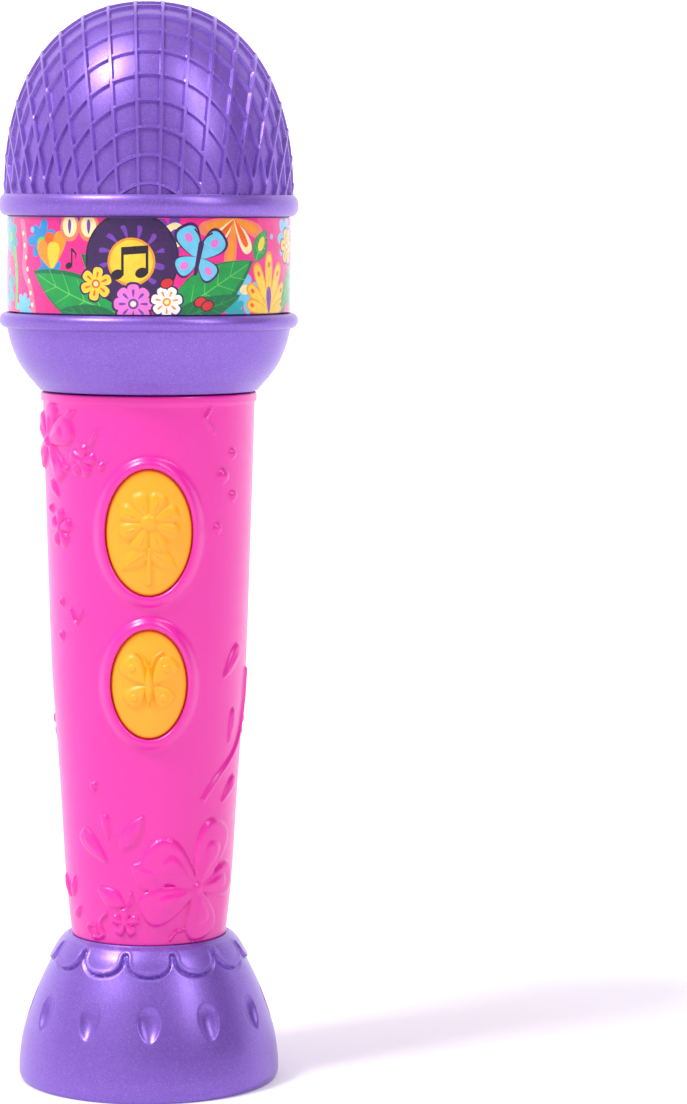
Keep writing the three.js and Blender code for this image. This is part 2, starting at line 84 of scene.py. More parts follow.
HANDLE_CURVE = [
    (16.45, 31.5), (17.7, 44), (18.74, 61.5), (19.62, 74.4), (20.6, 88.5), (21.42, 112.9), (22.1, 136),
    (22.3, 144.3), (22.33, 146.6),
]
HANDLE_BOTTOM = BASE_TOP + 0.06
HANDLE_TOP = 146.6
HANDLE_EDGES = (0.15, 0.35)  # the radii that round the bottom and the top edge
SEAM = 0.35  # from the middle of the toy to where each half's edge starts to turn in
RIM_LOW = 144.5
RIM_PROUD = 0.42
BOWL_CURVE = [
    (24.2, 148.5), (25.34, 149.8), (27.16, 152.4), (28.34, 154.9), (29.2, 157.4), (29.8, 160),
]
BASE_CURVE = [
    (17.0, 31.2), (17.81, 30.3), (19.3, 28.4), (20.9, 25.2), (23.27, 20.3), (25.3, 15.1), (26.83, 9.8),
    (27.6, 4.8), (27.72, 1.5),
]
LOBES = 12
LOBE_LOW, LOBE_HIGH = 25.5, 29.7
DIMPLE = {"low": 12.5, "length": 7.2, "width": 5.2, "depth": 1.15}

UPPER_BUTTON = {"name": "upper_button", "half": (8.81, 12.94), "z": 118.5}
LOWER_BUTTON = {"name": "lower_button", "half": (7.74, 11.27), "z": 86.9}
# The rim round a button, from the handle's surface to the cap: (distance from the opening, height).
BEZEL = [
    (2.75, 0.0), (2.5, 0.06), (2.25, 0.2), (2.0, 0.44), (1.7, 0.74), (1.4, 0.98), (1.1, 1.14), (0.8, 1.2),
    (0.5, 1.16), (0.24, 1.0), (0.06, 0.78), (0.0, 0.5), (0.0, 0.0),
]
CAP_GAP = (0.27, 0.32)  # between a cap and its opening, at the sides and at the top and bottom
CAP_PROUD, CAP_CROWN = 0.42, 0.5
SLEEVE_END = -15.5
FLANGE_FRONT, FLANGE_BACK = -15.2, -13.9
STEM_END, STEM_RADIUS = -11.9, 2.6

HANDLE_SCREWS = [(-9.5, 138.5), (9.5, 138.5), (-8, 46), (8, 46)]
SCREW_SEAT = 6.1
SCREW_HEAD, SCREW_SHANK = 2.4, 1.25  # radii
WELL_RADIUS = 2.8
HOLE_RADIUS = 1.6
DOOR_SCREWS = {"door_screw_upper": 124.4, "door_screw_lower": 67.8}
DOOR_SCREW_DEPTH, DOOR_RECESS = 1.2, 1.3  # of the head's seat and the recess's floor, below the surface
DOOR_HALF_WIDTH = node_box("battery_door")[1][0]
DOOR_LOW, DOOR_HIGH = height_range("battery_door")
DOOR_MIDDLE, DOOR_HALF_HEIGHT = (DOOR_LOW + DOOR_HIGH) / 2, (DOOR_HIGH - DOOR_LOW) / 2
DOOR_GAP = 0.3
DOOR_THICK = 2.0
DOOR_LEDGE = -2.3
DOOR_POWER = 30  # how square the door's corners are
BAY = {"half": (10.9, 25.0), "z": 97.0, "floor": 2.0}
SLEEVE_SHOULDER = 33  # from a cell's lower end to its copper band
SWITCH_Z = 136.1
SLOT_HALF_WIDTH, SLOT_CIRCLE = 1.1, 14.5  # the sound slots under the foot end on a circle

SUN_FROM = Vector((-0.49, -0.33, 0.809))
SUN_STRENGTH = 2.05
SUN_SPREAD = 12.0  # degrees across
FLOOR_REACH = (0.1, 0.8)  # metres from the toy between which the floor's glow grows
FLOOR_GLOW = (0.2, 0.5)
WORLD_GLOW = (0.68, 0.07)  # from the left to the right
BACKDROP_RADIUS = 8.0
BACKDROP_GLOW = 1.2
LIT_POINT = Vector((0, 0, 0.14))  # what the softboxes face
# The camera stands in front, looks a little down, and turns right so that the toy is left of the middle.
CAMERA_AT = (0, -0.7706, 0.1858)
LENS = 119.02  # on a sensor 36 mm long
LOOK_DOWN = 5.431  # degrees
LOOK_RIGHT = 3.05


# ---- Outlines: arrays of flat points ----
def smooth_curve(points, steps=10):
    """A Catmull-Rom curve through the points."""
    points = np.array(points, float)
    padded = np.vstack([2 * points[0] - points[1], points, 2 * points[-1] - points[-2]])
    made = []
    for a, b, c, d in zip(padded, padded[1:], padded[2:], padded[3:]):
        for t in np.arange(steps) / steps:
            made.append(0.5 * (2 * b + (c - a) * t + (2 * a - 5 * b + 4 * c - d) * t**2
                               + (3 * b - a - 3 * c + d) * t**3))
    return np.array(made + [points[-1]])


def filleted(corners, steps=5):
    """An outline through (r, z) corners. A third number is how far a corner's rounding reaches."""
    places = [np.array(corner[:2], float) for corner in corners]
    made = [places[0]]
    for corner, before, here, after in zip(corners[1:], places, places[1:], places[2:]):
        if len(corner) < 3:
            made.append(here)
            continue
        back, ahead = before - here, after - here
        lengths = np.linalg.norm(back), np.linalg.norm(ahead)
        reach = min(corner[2], 0.49 * lengths[0], 0.49 * lengths[1])
        start, end = here + back / lengths[0] * reach, here + ahead / lengths[1] * reach
        for t in np.linspace(0, 1, steps):
            made.append((1 - t) ** 2 * start + 2 * t * (1 - t) * here + t**2 * end)
    return np.array(made + [places[-1]])


def arc(centre, radii, first, last, steps=12):
    """Points of an elliptical arc between two angles in degrees."""
    angles = np.radians(np.linspace(first, last, steps))
    return np.column_stack([centre[0] + radii[0] * np.cos(angles), centre[1] + radii[1] * np.sin(angles)])


def circle(centre, radius, count=48):
    return arc(centre, (radius, radius), 0, 360 - 360 / count, count)


def unit_outline(count, power=2):
    """Points round a superellipse with half axes of 1. The higher the power, the squarer it is."""
    turn = np.arange(count) * TAU / count
    sides = np.column_stack([np.cos(turn), np.sin(turn)])
    return np.sign(sides) * np.abs(sides) ** (2 / power)


def arc_length(outline):
    """The distance along an outline at each of its points."""
    return np.concatenate([[0], np.cumsum(np.linalg.norm(np.diff(outline, axis=0), axis=1))])


def resampled(outline, spacing):
    """The outline with points at an even spacing along it."""
    along = arc_length(outline)
    wanted = np.linspace(0, along[-1], int(round(along[-1] / spacing)) + 1)
    return np.column_stack([np.interp(wanted, along, outline[:, k]) for k in (0, 1)])


def placed(points, centre=(0, 0), turn=0.0):
    """Points turned by an angle in degrees about their origin, then moved to a centre."""
    c, s = cos(radians(turn)), sin(radians(turn))
    return np.asarray(points) @ np.array([[c, s], [-s, c]]) + np.asarray(centre, float)


def mirrored(x, half):
    """A closed outline along +X with the given half widths on both sides."""
    upper = np.column_stack([x, half])
    return np.vstack([upper, upper[-2:0:-1] * (1, -1)])


def petal_outline(length, width, blunt=0.7):
    """A petal from its base at the origin along +X. The higher blunt is, the rounder its tip."""
    t = np.linspace(0, pi, 15)
    x = (1 - np.cos(t)) / 2
    half = np.sin(t) ** (0.75 if blunt > 0.5 else 1.1) * (0.35 + blunt * x)
    return mirrored(x * length, half * width / 2 / half.max())


def leaf_outline(length, width):
    """A leaf with a point at each end, along +X from its base."""
    x = np.linspace(0, 1, 13)
    return mirrored(x * length, width / 2 * np.sin(pi * x**0.85) ** 0.9)


def distance_to(points, starts, ends):
    """Distance from points to the nearest of the straight runs between starts and ends."""
    run = ends - starts
    offset = points[:, None, :] - starts
    share = np.clip((offset * run).sum(-1) / np.maximum((run**2).sum(-1), 1e-12), 0, 1)
    return np.linalg.norm(offset - share[..., None] * run, axis=-1).min(1)


def depth_in(points, outline):
    """How deep points lie inside a closed outline, below zero outside it."""
    ends = np.roll(outline, -1, axis=0)
    run = ends - outline
    x, y = points[:, :1], points[:, 1:]
    crosses = (outline[:, 1] > y) != (ends[:, 1] > y)
    slope = np.where(run[:, 1] == 0, 1e-12, run[:, 1])
    inside = (crosses & (x < outline[:, 0] + (y - outline[:, 1]) / slope * run[:, 0])).sum(1) % 2 == 1
    return distance_to(points, outline, ends) * np.where(inside, 1, -1)


def step(value, low, high):
    """A smooth step from 0 at low to 1 at high."""
    t = np.clip((value - low) / (high - low), 0, 1)
    return t * t * (3 - 2 * t)


HANDLE_FINE = smooth_curve(HANDLE_CURVE)


def handle_radius(z):
    """The handle's outer radius at a height, with the raised rim at its top."""
    rim = step(np.asarray(z, float), RIM_LOW, RIM_LOW + 0.5)
    return np.interp(z, HANDLE_FINE[:, 1], HANDLE_FINE[:, 0]) + RIM_PROUD * rim


def on_handle(flat, proud, way=-1):
    """Flat (x, z) points laid on the handle's front, or its back with way = 1, raised by an amount."""
    x, z = np.asarray(flat, float).T
    depth = np.sqrt(np.maximum((handle_radius(z) + proud) ** 2 - x**2, 0))
    return np.column_stack([x, way * depth, z])


def upright(flat, y):
    """Flat (x, z) points at a fixed y."""
    return np.insert(np.asarray(flat, float), 1, y, axis=1)


def lifted(flat, z):
    """Flat (x, y) points at a height."""
    return np.insert(np.asarray(flat, float), 2, z, axis=1)


# ---- Shapes: pairs of points and faces ----
def rings_to_faces(rows, columns, closed=False, wrap=True):
    """Quads between successive rings of equal length."""
    faces = []
    for i in range(rows if closed else rows - 1):
        near, far = i * columns, (i + 1) % rows * columns
        for j in range(columns if wrap else columns - 1):
            after = (j + 1) % columns
            faces.append((near + j, near + after, far + after, far + j))
    return faces


def skinned(rings, closed=False):
    """A surface through successive rings of the same number of points."""
    return np.concatenate(rings), rings_to_faces(len(rings), len(rings[0]), closed)


def capped(rings):
    """A surface through rings, closed by a face at each end."""
    vertices, faces = skinned(rings)
    ends = [range(len(rings[0])), range(len(vertices) - len(rings[0]), len(vertices))]
    return vertices, faces + [tuple(end) for end in ends]


def turned(outline, segments=160, closed=False):
    """A surface of revolution about Z. Points on the axis close it."""
    angles = np.arange(segments) * TAU / segments
    around = np.column_stack([np.sin(angles), -np.cos(angles)])
    return skinned([lifted(around * r, z) for r, z in outline], closed)


def directions(path):
    """The unit tangent at each point of a path."""
    tangents = np.gradient(path, axis=0)
    return tangents / np.linalg.norm(tangents, axis=1)[:, None]


def tube(path, radius, sides=12):
    """A round tube along a list of points, closed at both ends."""
    tangents = directions(path)
    normal = np.cross(tangents[0], [0.31, 0.52, 0.79])
    section = unit_outline(sides) * radius
    rings = []
    for point, tangent in zip(path, tangents):
        normal = normal - tangent * normal.dot(tangent)
        normal /= np.linalg.norm(normal)
        rings.append(point + section @ [normal, np.cross(tangent, normal)])
    return capped(rings)


def meshed(outline, holes, spacing=None):
    """A flat region with holes, with points inside it where a spacing is given."""
    loops = [outline, *holes]
    points, edges = [], []
    for loop in loops:
        start, n = len(points), len(loop)
        points.extend(map(tuple, loop))
        edges.extend([(start + k, start + (k + 1) % n) for k in range(n)])
    if spacing:
        low, high = outline.min(0), outline.max(0)
        x, y = np.meshgrid(*(np.arange(low[k] + spacing, high[k] - 0.5 * spacing, spacing) for k in (0, 1)))
        inner = np.column_stack([x.ravel(), y.ravel()])
        for loop, sign in zip(loops, [1] + [-1] * len(holes)):
            inner = inner[sign * depth_in(inner, loop) > 0.4 * spacing]
        points.extend(map(tuple, inner))
    made, _, faces, *_ = delaunay_2d_cdt([Vector(p) for p in points], edges, [], 1, 1e-5)
    made = np.array([tuple(p) for p in made])
    centres = np.array([made[face].mean(0) for face in faces])
    in_hole = np.any([depth_in(centres, hole) > 0 for hole in holes], axis=0)
    return made, [tuple(face) for face, gone in zip(faces, in_hole) if not gone]


def moved(shape, matrix):
    """A shape put through a 4 by 4 matrix."""
    vertices, faces = shape
    matrix = np.array(matrix)
    return vertices @ matrix[:3, :3].T + matrix[:3, 3], faces


def together(*shapes):
    """Several shapes as one."""
    faces, start = [], 0
    for points, polygons in shapes:
        faces.extend([tuple(i + start for i in polygon) for polygon in polygons])
        start += len(points)
    return np.concatenate([points for points, _ in shapes]), faces


def facing(axis, place, turn=0.0):
    """A matrix that sends +Z to an axis and the origin to a place, after a turn about +Z."""
    spin = Matrix.Rotation(radians(turn), 4, "Z")
    return Matrix.Translation(place) @ Vector(axis).to_track_quat("Z", "Y").to_matrix().to_4x4() @ spin


# ---- Blender objects ----
def new_mesh(name, shape, scale=MM):
    vertices, faces = shape
    mesh = bpy.data.meshes.new(name)
    mesh.from_pydata((np.array(vertices) * scale).tolist(), [], [list(map(int, face)) for face in faces])
    return mesh


@contextmanager
def edited(mesh):
    """A mesh's BMesh, which is written back with its normals made to agree."""
    bm = bmesh.new()
    bm.from_mesh(mesh)
    yield bm
    bmesh.ops.recalc_face_normals(bm, faces=bm.faces)
    bm.to_mesh(mesh)
    bm.free()


def of_kind(parts, kind):
    return [part for part in parts if isinstance(part, kind)]


def add_object(name, data):
    made = bpy.data.objects.new(name, data)
    bpy.context.collection.objects.link(made)
    return made


def add_piece(name, mesh, slot, node, body="housing", sharp=38):
    """A mesh as a piece in its slot's material, riding on a body in a node's place."""
    mesh.shade_smooth()
    mesh.set_sharp_from_angle(angle=radians(sharp))
    mesh.materials.append(MATERIALS[slot])
    piece = add_object(name, mesh)
    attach(piece, body)
    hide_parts(node)
    return piece


def make(name, shape, slot, node, body="housing", sharp=38, outward=False):
    """A piece from a shape in millimetres. Outward turns an open shell's faces away from the axis."""
    mesh = new_mesh(name, shape)
    with edited(mesh) as bm:
        bmesh.ops.remove_doubles(bm, verts=bm.verts, dist=1e-6)
        bmesh.ops.dissolve_degenerate(bm, edges=bm.edges, dist=1e-7)
        bmesh.ops.delete(bm, geom=[v for v in bm.verts if not v.link_faces], context="VERTS")
    across = Vector((1, 1, 0))
    if outward and sum(f.area * f.normal.dot(f.center * across) for f in mesh.polygons) < 0:
        mesh.flip_normals()
    return add_piece(name, mesh, slot, node, body, sharp)


# ---- Materials ----
def linear(red, green, blue):
    """A colour given on the 0 to 255 screen scale, in linear light."""
    channels = [c / 255 for c in (red, green, blue)]
    return tuple(c / 12.92 if c <= 0.04045 else ((c + 0.055) / 1.055) ** 2.4 for c in channels) + (1,)


def feed(socket, value):
    """Links an output to a socket, or gives it a value. Three numbers are a colour on the screen scale."""
    if isinstance(value, bpy.types.NodeSocket):
        socket.id_data.links.new(value, socket)
    elif isinstance(value, tuple) and len(value) == 3:
        socket.default_value = linear(*value)
    else:
        socket.default_value = value


def add_node(tree, kind, inputs=(), **settings):
    made = tree.nodes.new(kind)
    for name, value in settings.items():
        setattr(made, name, value)
    for socket, value in dict(inputs).items():
        feed(made.inputs[socket], value)
    return made


def map_range(tree, source, low, high, to_low=0.0, to_high=1.0):
    """The source's range from low to high, spread over another range."""
    inputs = {"Value": source, "From Min": low, "From Max": high, "To Min": to_low, "To Max": to_high}
    return add_node(tree, "ShaderNodeMapRange", inputs).outputs["Result"]


class Shader:
    """A material under construction."""

    def __init__(self, name, **values):
        self.material = bpy.data.materials.new(name)
        self.material.use_nodes = True
        self.place = self.node("ShaderNodeTexCoord").outputs["Object"]
        for socket, value in values.items():
            self.set(socket.replace("_", " ").title(), value)

    def node(self, kind, inputs=(), **settings):
        return add_node(self.material.node_tree, kind, inputs, **settings)

    def set(self, socket, value):
        """Gives a value or another node's output to a socket of the surface."""
        feed(self.material.node_tree.nodes["Principled BSDF"].inputs[socket], value)

    def noise(self, size, detail=2.0, roughness=0.5):
        """Noise whose features are about `size` millimetres across."""
        inputs = {"Scale": 1 / (size * MM), "Detail": detail, "Roughness": roughness, "Vector": self.place}
        return self.node("ShaderNodeTexNoise", inputs).outputs["Fac"]

    def spread(self, source, *ranges):
        return map_range(self.material.node_tree, source, *ranges)

    def blend(self, factor, first, second, mode="MIX"):
        """A colour between two, by the sockets that a colour mix uses."""
        inputs = {0: factor, 6: first, 7: second}
        return self.node("ShaderNodeMix", inputs, data_type="RGBA", blend_type=mode).outputs[2]

    def bump(self, source, height):
        """Relief of the given height in millimetres where the source goes from 0 to 1."""
        inputs = {"Strength": 1.0, "Distance": height * MM, "Height": source}
        self.set("Normal", self.node("ShaderNodeBump", inputs).outputs["Normal"])


def pearl_plastic(name):
    """Injection-moulded purple with fine mica flakes under a soft gloss."""
    shader = Shader(name, metallic=0.5, coat_weight=0.45, coat_roughness=0.3)
    body = shader.blend(shader.noise(9, 2), (122, 84, 187), (132, 92, 198))
    dark = shader.spread(shader.noise(0.36, 1), 0.38, 0.5, 0.2, 0.0)
    flakes = shader.spread(shader.noise(0.28, 1), 0.52, 0.74, 0.0, 0.28)
    shaded = shader.blend(dark, body, (84, 54, 148))
    shader.set("Base Color", shader.blend(flakes, shaded, (184, 154, 232)))
    shader.set("Roughness", shader.spread(shader.noise(0.4, 1), 0.3, 0.7, 0.33, 0.43))
    shader.bump(shader.noise(0.36, 1), 0.004)
    return shader.material


def gloss_plastic(name, dark, light, roughness=0.34, coat=0.4):
    """Dyed plastic with slight flow marks in its colour and a nearly smooth moulded skin."""
    shader = Shader(name, coat_weight=coat, coat_roughness=0.22)
    shader.set("Base Color", shader.blend(shader.noise(16, 1), dark, light))
    shader.set("Roughness", shader.spread(shader.noise(5, 1), 0.2, 0.8, roughness - 0.03, roughness + 0.05))
    shader.bump(shader.noise(6, 1), 0.004)
    return shader.material


def metal(name, dark, light, roughness):
    """Plated metal with a faint mottled finish."""
    shader = Shader(name, metallic=1.0)
    shader.set("Base Color", shader.blend(shader.noise(0.4, 3), dark, light))
    finish = shader.spread(shader.noise(0.2, 2), 0.3, 0.7, roughness - 0.06, roughness + 0.1)
    shader.set("Roughness", finish)
    shader.bump(shader.noise(0.4, 2), 0.004)
    return shader.material


def mottled(name, dark, light, roughness, size, height):
    """A matt material with a grain of the given size and relief."""
    shader = Shader(name, roughness=roughness)
    shader.set("Base Color", shader.blend(shader.spread(shader.noise(size, 4), 0.3, 0.7), dark, light))
    shader.bump(shader.noise(size, 4), height)
    return shader.material


def printed_film(name):
    """Glossy printed film: each face's ink comes from its colour, with a fine screen-print grain."""
    shader = Shader(name, coat_weight=0.5, coat_roughness=0.06)
    shader.set("Specular IOR Level", 0.25)
    ink = shader.node("ShaderNodeAttribute", attribute_name="ink").outputs["Color"]
    grain = shader.spread(shader.noise(2.2, 4, 0.65), 0.35, 0.7)
    wash = shader.blend(grain, (0.80, 0.80, 0.80, 1), (1, 1, 1, 1))
    shader.set("Base Color", shader.blend(1.0, ink, wash, "MULTIPLY"))
    shader.set("Roughness", shader.spread(shader.noise(1.2, 2), 0.3, 0.7, 0.18, 0.28))
    return shader.material


def battery_sleeve(name):
    """A printed sleeve: dark green with a copper band at the top of both cells."""
    shader = Shader(name, roughness=0.28, coat_weight=0.6, coat_roughness=0.1)
    height = shader.node("ShaderNodeSeparateXYZ", {"Vector": shader.place}).outputs["Z"]
    shoulder = height_range("battery_1")[0] + SLEEVE_SHOULDER
    band = shader.spread(height, shoulder * MM, (shoulder + 0.2) * MM)
    green = shader.blend(shader.noise(3, 3), (26, 110, 58), (40, 132, 70))
    shader.set("Base Color", shader.blend(band, green, (196, 126, 66)))
    shader.bump(shader.noise(0.5, 2), 0.003)
    return shader.material


def circuit_green(name):
    """Solder mask over copper tracks, seen as slightly lighter bands."""
    shader = Shader(name, roughness=0.35, coat_weight=0.3, coat_roughness=0.1)
    bands = {"Scale": 900.0, "Distortion": 4.0, "Vector": shader.place}
    tracks = shader.node("ShaderNodeTexWave", bands, wave_type="BANDS", bands_direction="X")
    lanes = shader.spread(tracks.outputs["Fac"], 0.6, 0.7)
    shader.set("Base Color", shader.blend(lanes, (18, 92, 46), (42, 128, 66)))
    shader.bump(lanes, 0.03)
    return shader.material


MATERIALS = {
    "pearl_purple": pearl_plastic("pearl_purple"),
    "gloss_pink": gloss_plastic("gloss_pink", (226, 26, 158), (232, 31, 164)),
    "satin_orange": gloss_plastic("satin_orange", (255, 163, 12), (255, 171, 20), 0.42, 0.1),
    "printed_label": printed_film("label_print"),
    "zinc_steel": metal("zinc_steel", (150, 152, 156), (198, 200, 204), 0.3),
    "nickel": metal("nickel", (170, 168, 160), (214, 212, 205), 0.2),
    "board_green": circuit_green("board_green"),
    "cell_sleeve": battery_sleeve("cell_sleeve"),
}
for finish in (
    ("silicone", (196, 196, 192), (216, 216, 212), 0.6, 1.2, 0.02),
    ("black_plastic", (24, 24, 26), (36, 36, 39), 0.45, 0.35, 0.02),
    ("magnet_black", (30, 30, 32), (48, 47, 46), 0.55, 0.8, 0.05),
    ("cone_paper", (26, 25, 26), (44, 42, 42), 0.9, 0.5, 0.12),
    ("red_lead", (190, 24, 18), (206, 36, 28), 0.42, 1.5, 0.02),
    ("black_lead", (20, 20, 21), (32, 32, 33), 0.42, 1.5, 0.02),
    ("yellow_lead", (222, 180, 24), (236, 196, 40), 0.42, 1.5, 0.02),
):
    MATERIALS[finish[0]] = mottled(*finish)


# ---- Head ----
def dome_profile(radius, rise, angles):
    """The dome's meridian as (r, z), at angles above its shoulder."""
    across, up = np.cos(angles) ** DOME_POWER, np.sin(angles) ** DOME_POWER
    return np.column_stack([radius * across, DOME_SHOULDER + rise * up])


def rib_stations(lines):
    """Places across a family of ribs: each one's line, its offset and its share of a rib's height."""
    stations = []
    for line, following in zip(lines, [*lines[1:], None]):
        for offset, share in ((-RIB_FOOT, 0), (-RIB_TOP, 1), (RIB_TOP, 1), (RIB_FOOT, 0)):
            stations.append((line, offset, share))
        if following is not None:
            stations.extend([(line + (following - line) * t, 0, 0) for t in (0.3, 0.5, 0.7)])
    return np.array(stations).T


def dome():
    """The ridged dome: two families of ribs cross it, each rib in a plane through one point far below."""
    outline = dome_profile(DOME_RADIUS, TOTAL_HEIGHT - DOME_SHOULDER, np.linspace(pi / 2, 0, 90))
    outline = np.vstack([outline, [DOME_RADIUS, DOME_SHOULDER - 45]])
    outline[0, 0] = 0
    slope = np.arctan2(outline[:, 0], outline[:, 1] - RIB_FOCUS)
    reach = np.hypot(outline[:, 0], outline[:, 1] - RIB_FOCUS)
    lines = np.tan(np.interp((np.arange(RIBS) + 0.5) * RIB_PITCH, arc_length(outline), slope))

    def surface(p, q):
        """The plain dome where the direction (p, q, 1) from the focus meets it."""
        flat = np.hypot(p, q)
        angle = np.arctan(flat)
        distance = np.interp(angle, slope, reach)
        share = distance * np.divide(np.sin(angle), flat, out=np.ones_like(flat), where=flat > 1e-9)
        return np.stack([share * p, share * q, RIB_FOCUS + distance * np.cos(angle)], -1)

    line, offset, share = rib_stations(np.concatenate([-lines[::-1], lines]))
    p, q = np.meshgrid(line, line, indexing="ij")
    small = 1e-4
    along_p = (surface(p + small, q) - surface(p - small, q)) / (2 * small)
    along_q = (surface(p, q + small) - surface(p, q - small)) / (2 * small)
    normal = np.cross(along_p, along_q)
    area = np.linalg.norm(normal, axis=-1)
    p_scale = area / np.linalg.norm(along_q, axis=-1)
    q_scale = area / np.linalg.norm(along_p, axis=-1)
    points = surface(p + offset[:, None] / p_scale, q + offset / q_scale)
    height = np.maximum(RIB_PROUD[0] * share[:, None], RIB_PROUD[1] * share)
    points += normal / area[..., None] * (height - RIB_PROUD[1])[..., None]
    return points.reshape(-1, 3), rings_to_faces(len(line), len(line), wrap=False)


def add_dome():
    """The dome, cut off below its shoulder and closed by an inner skin that ends on the axis."""
    foot, wall = DOME_SHOULDER - 2, 2.6
    radius_inside, rise_inside = DOME_RADIUS - wall, TOTAL_HEIGHT - DOME_SHOULDER - wall
    mesh = make("ridged_dome", dome(), "pearl_purple", "head_dome").data
    inside = dome_profile(radius_inside, rise_inside, np.linspace(0, pi / 2, 16))
    with edited(mesh) as bm:
        everything = bm.verts[:] + bm.edges[:] + bm.faces[:]
        cut = {"plane_co": (0, 0, foot * MM), "plane_no": (0, 0, 1), "clear_inner": True}
        bmesh.ops.bisect_plane(bm, geom=everything, **cut)
        rim = [edge for edge in bm.edges if edge.is_boundary]
        for radius, z in [(radius_inside, foot), *np.maximum(inside, 0.0001)]:
            made = bmesh.ops.extrude_edge_only(bm, edges=rim)["geom"]
            rim = of_kind(made, bmesh.types.BMEdge)
            for vertex in of_kind(made, bmesh.types.BMVert):
                around = Vector((vertex.co.x, vertex.co.y, 0)).normalized() * radius * MM
                vertex.co = (around.x, around.y, z * MM)
        bmesh.ops.remove_doubles(bm, verts=bm.verts, dist=1e-7)
    mesh.set_sharp_from_angle(angle=radians(30))


def collar():
    """The drum that carries the label, with the bead above it."""
    top = DOME_RADIUS + 0.08
    return turned(np.vstack([
        filleted([(25.7, 183), (25.7, 160.4), (27.7, 160.4), (27.7, LABEL_LOW - 0.1),
                  (29.4, LABEL_LOW - 0.1, 0.1), (29.4, LABEL_HIGH + 0.15)]),
        arc((29.9, 185.7), (1.52, 2.3), -90, 66, 18),
        filleted([(30.5, 187.9), (top, 187.75, 0.1), (top, 185.2), (27.6, 185.2)]),
    ]), 224, closed=True)


def bowl():
    """The bowl under the label, with its own bead."""
    return turned(np.vstack([
        filleted([(19.9, 149.3), (19.9, 146.9), (22.6, 146.9)]),
        smooth_curve([(22.95, 147.05), *BOWL_CURVE]),
        arc((29.82, 161.65), (1.58, 1.62), -88, 90, 18),
        filleted([(29.5, 163.27), (28, 163.27, 0.2), (28, 160.2), (27, 156), (25, 152.2), (22.4, 149.3)]),
    ]), 224, closed=True)


# ---- Label ----
INKS = {
    "pink": (236, 38, 138), "rose": (250, 118, 158), "blue": (24, 142, 208), "teal": (32, 170, 176),
    "sky": (110, 200, 232), "orange": (246, 150, 34), "flame": (238, 96, 30), "yellow": (250, 206, 56),
    "cream": (252, 232, 170), "green": (8, 156, 70), "lime": (96, 200, 84), "forest": (6, 112, 64),
    "plum": (58, 24, 84), "violet": (118, 62, 172), "white": (250, 246, 248), "red": (216, 44, 52),
    "coral": (248, 128, 92), "night": (30, 16, 36), "orchid": (236, 120, 208),
}


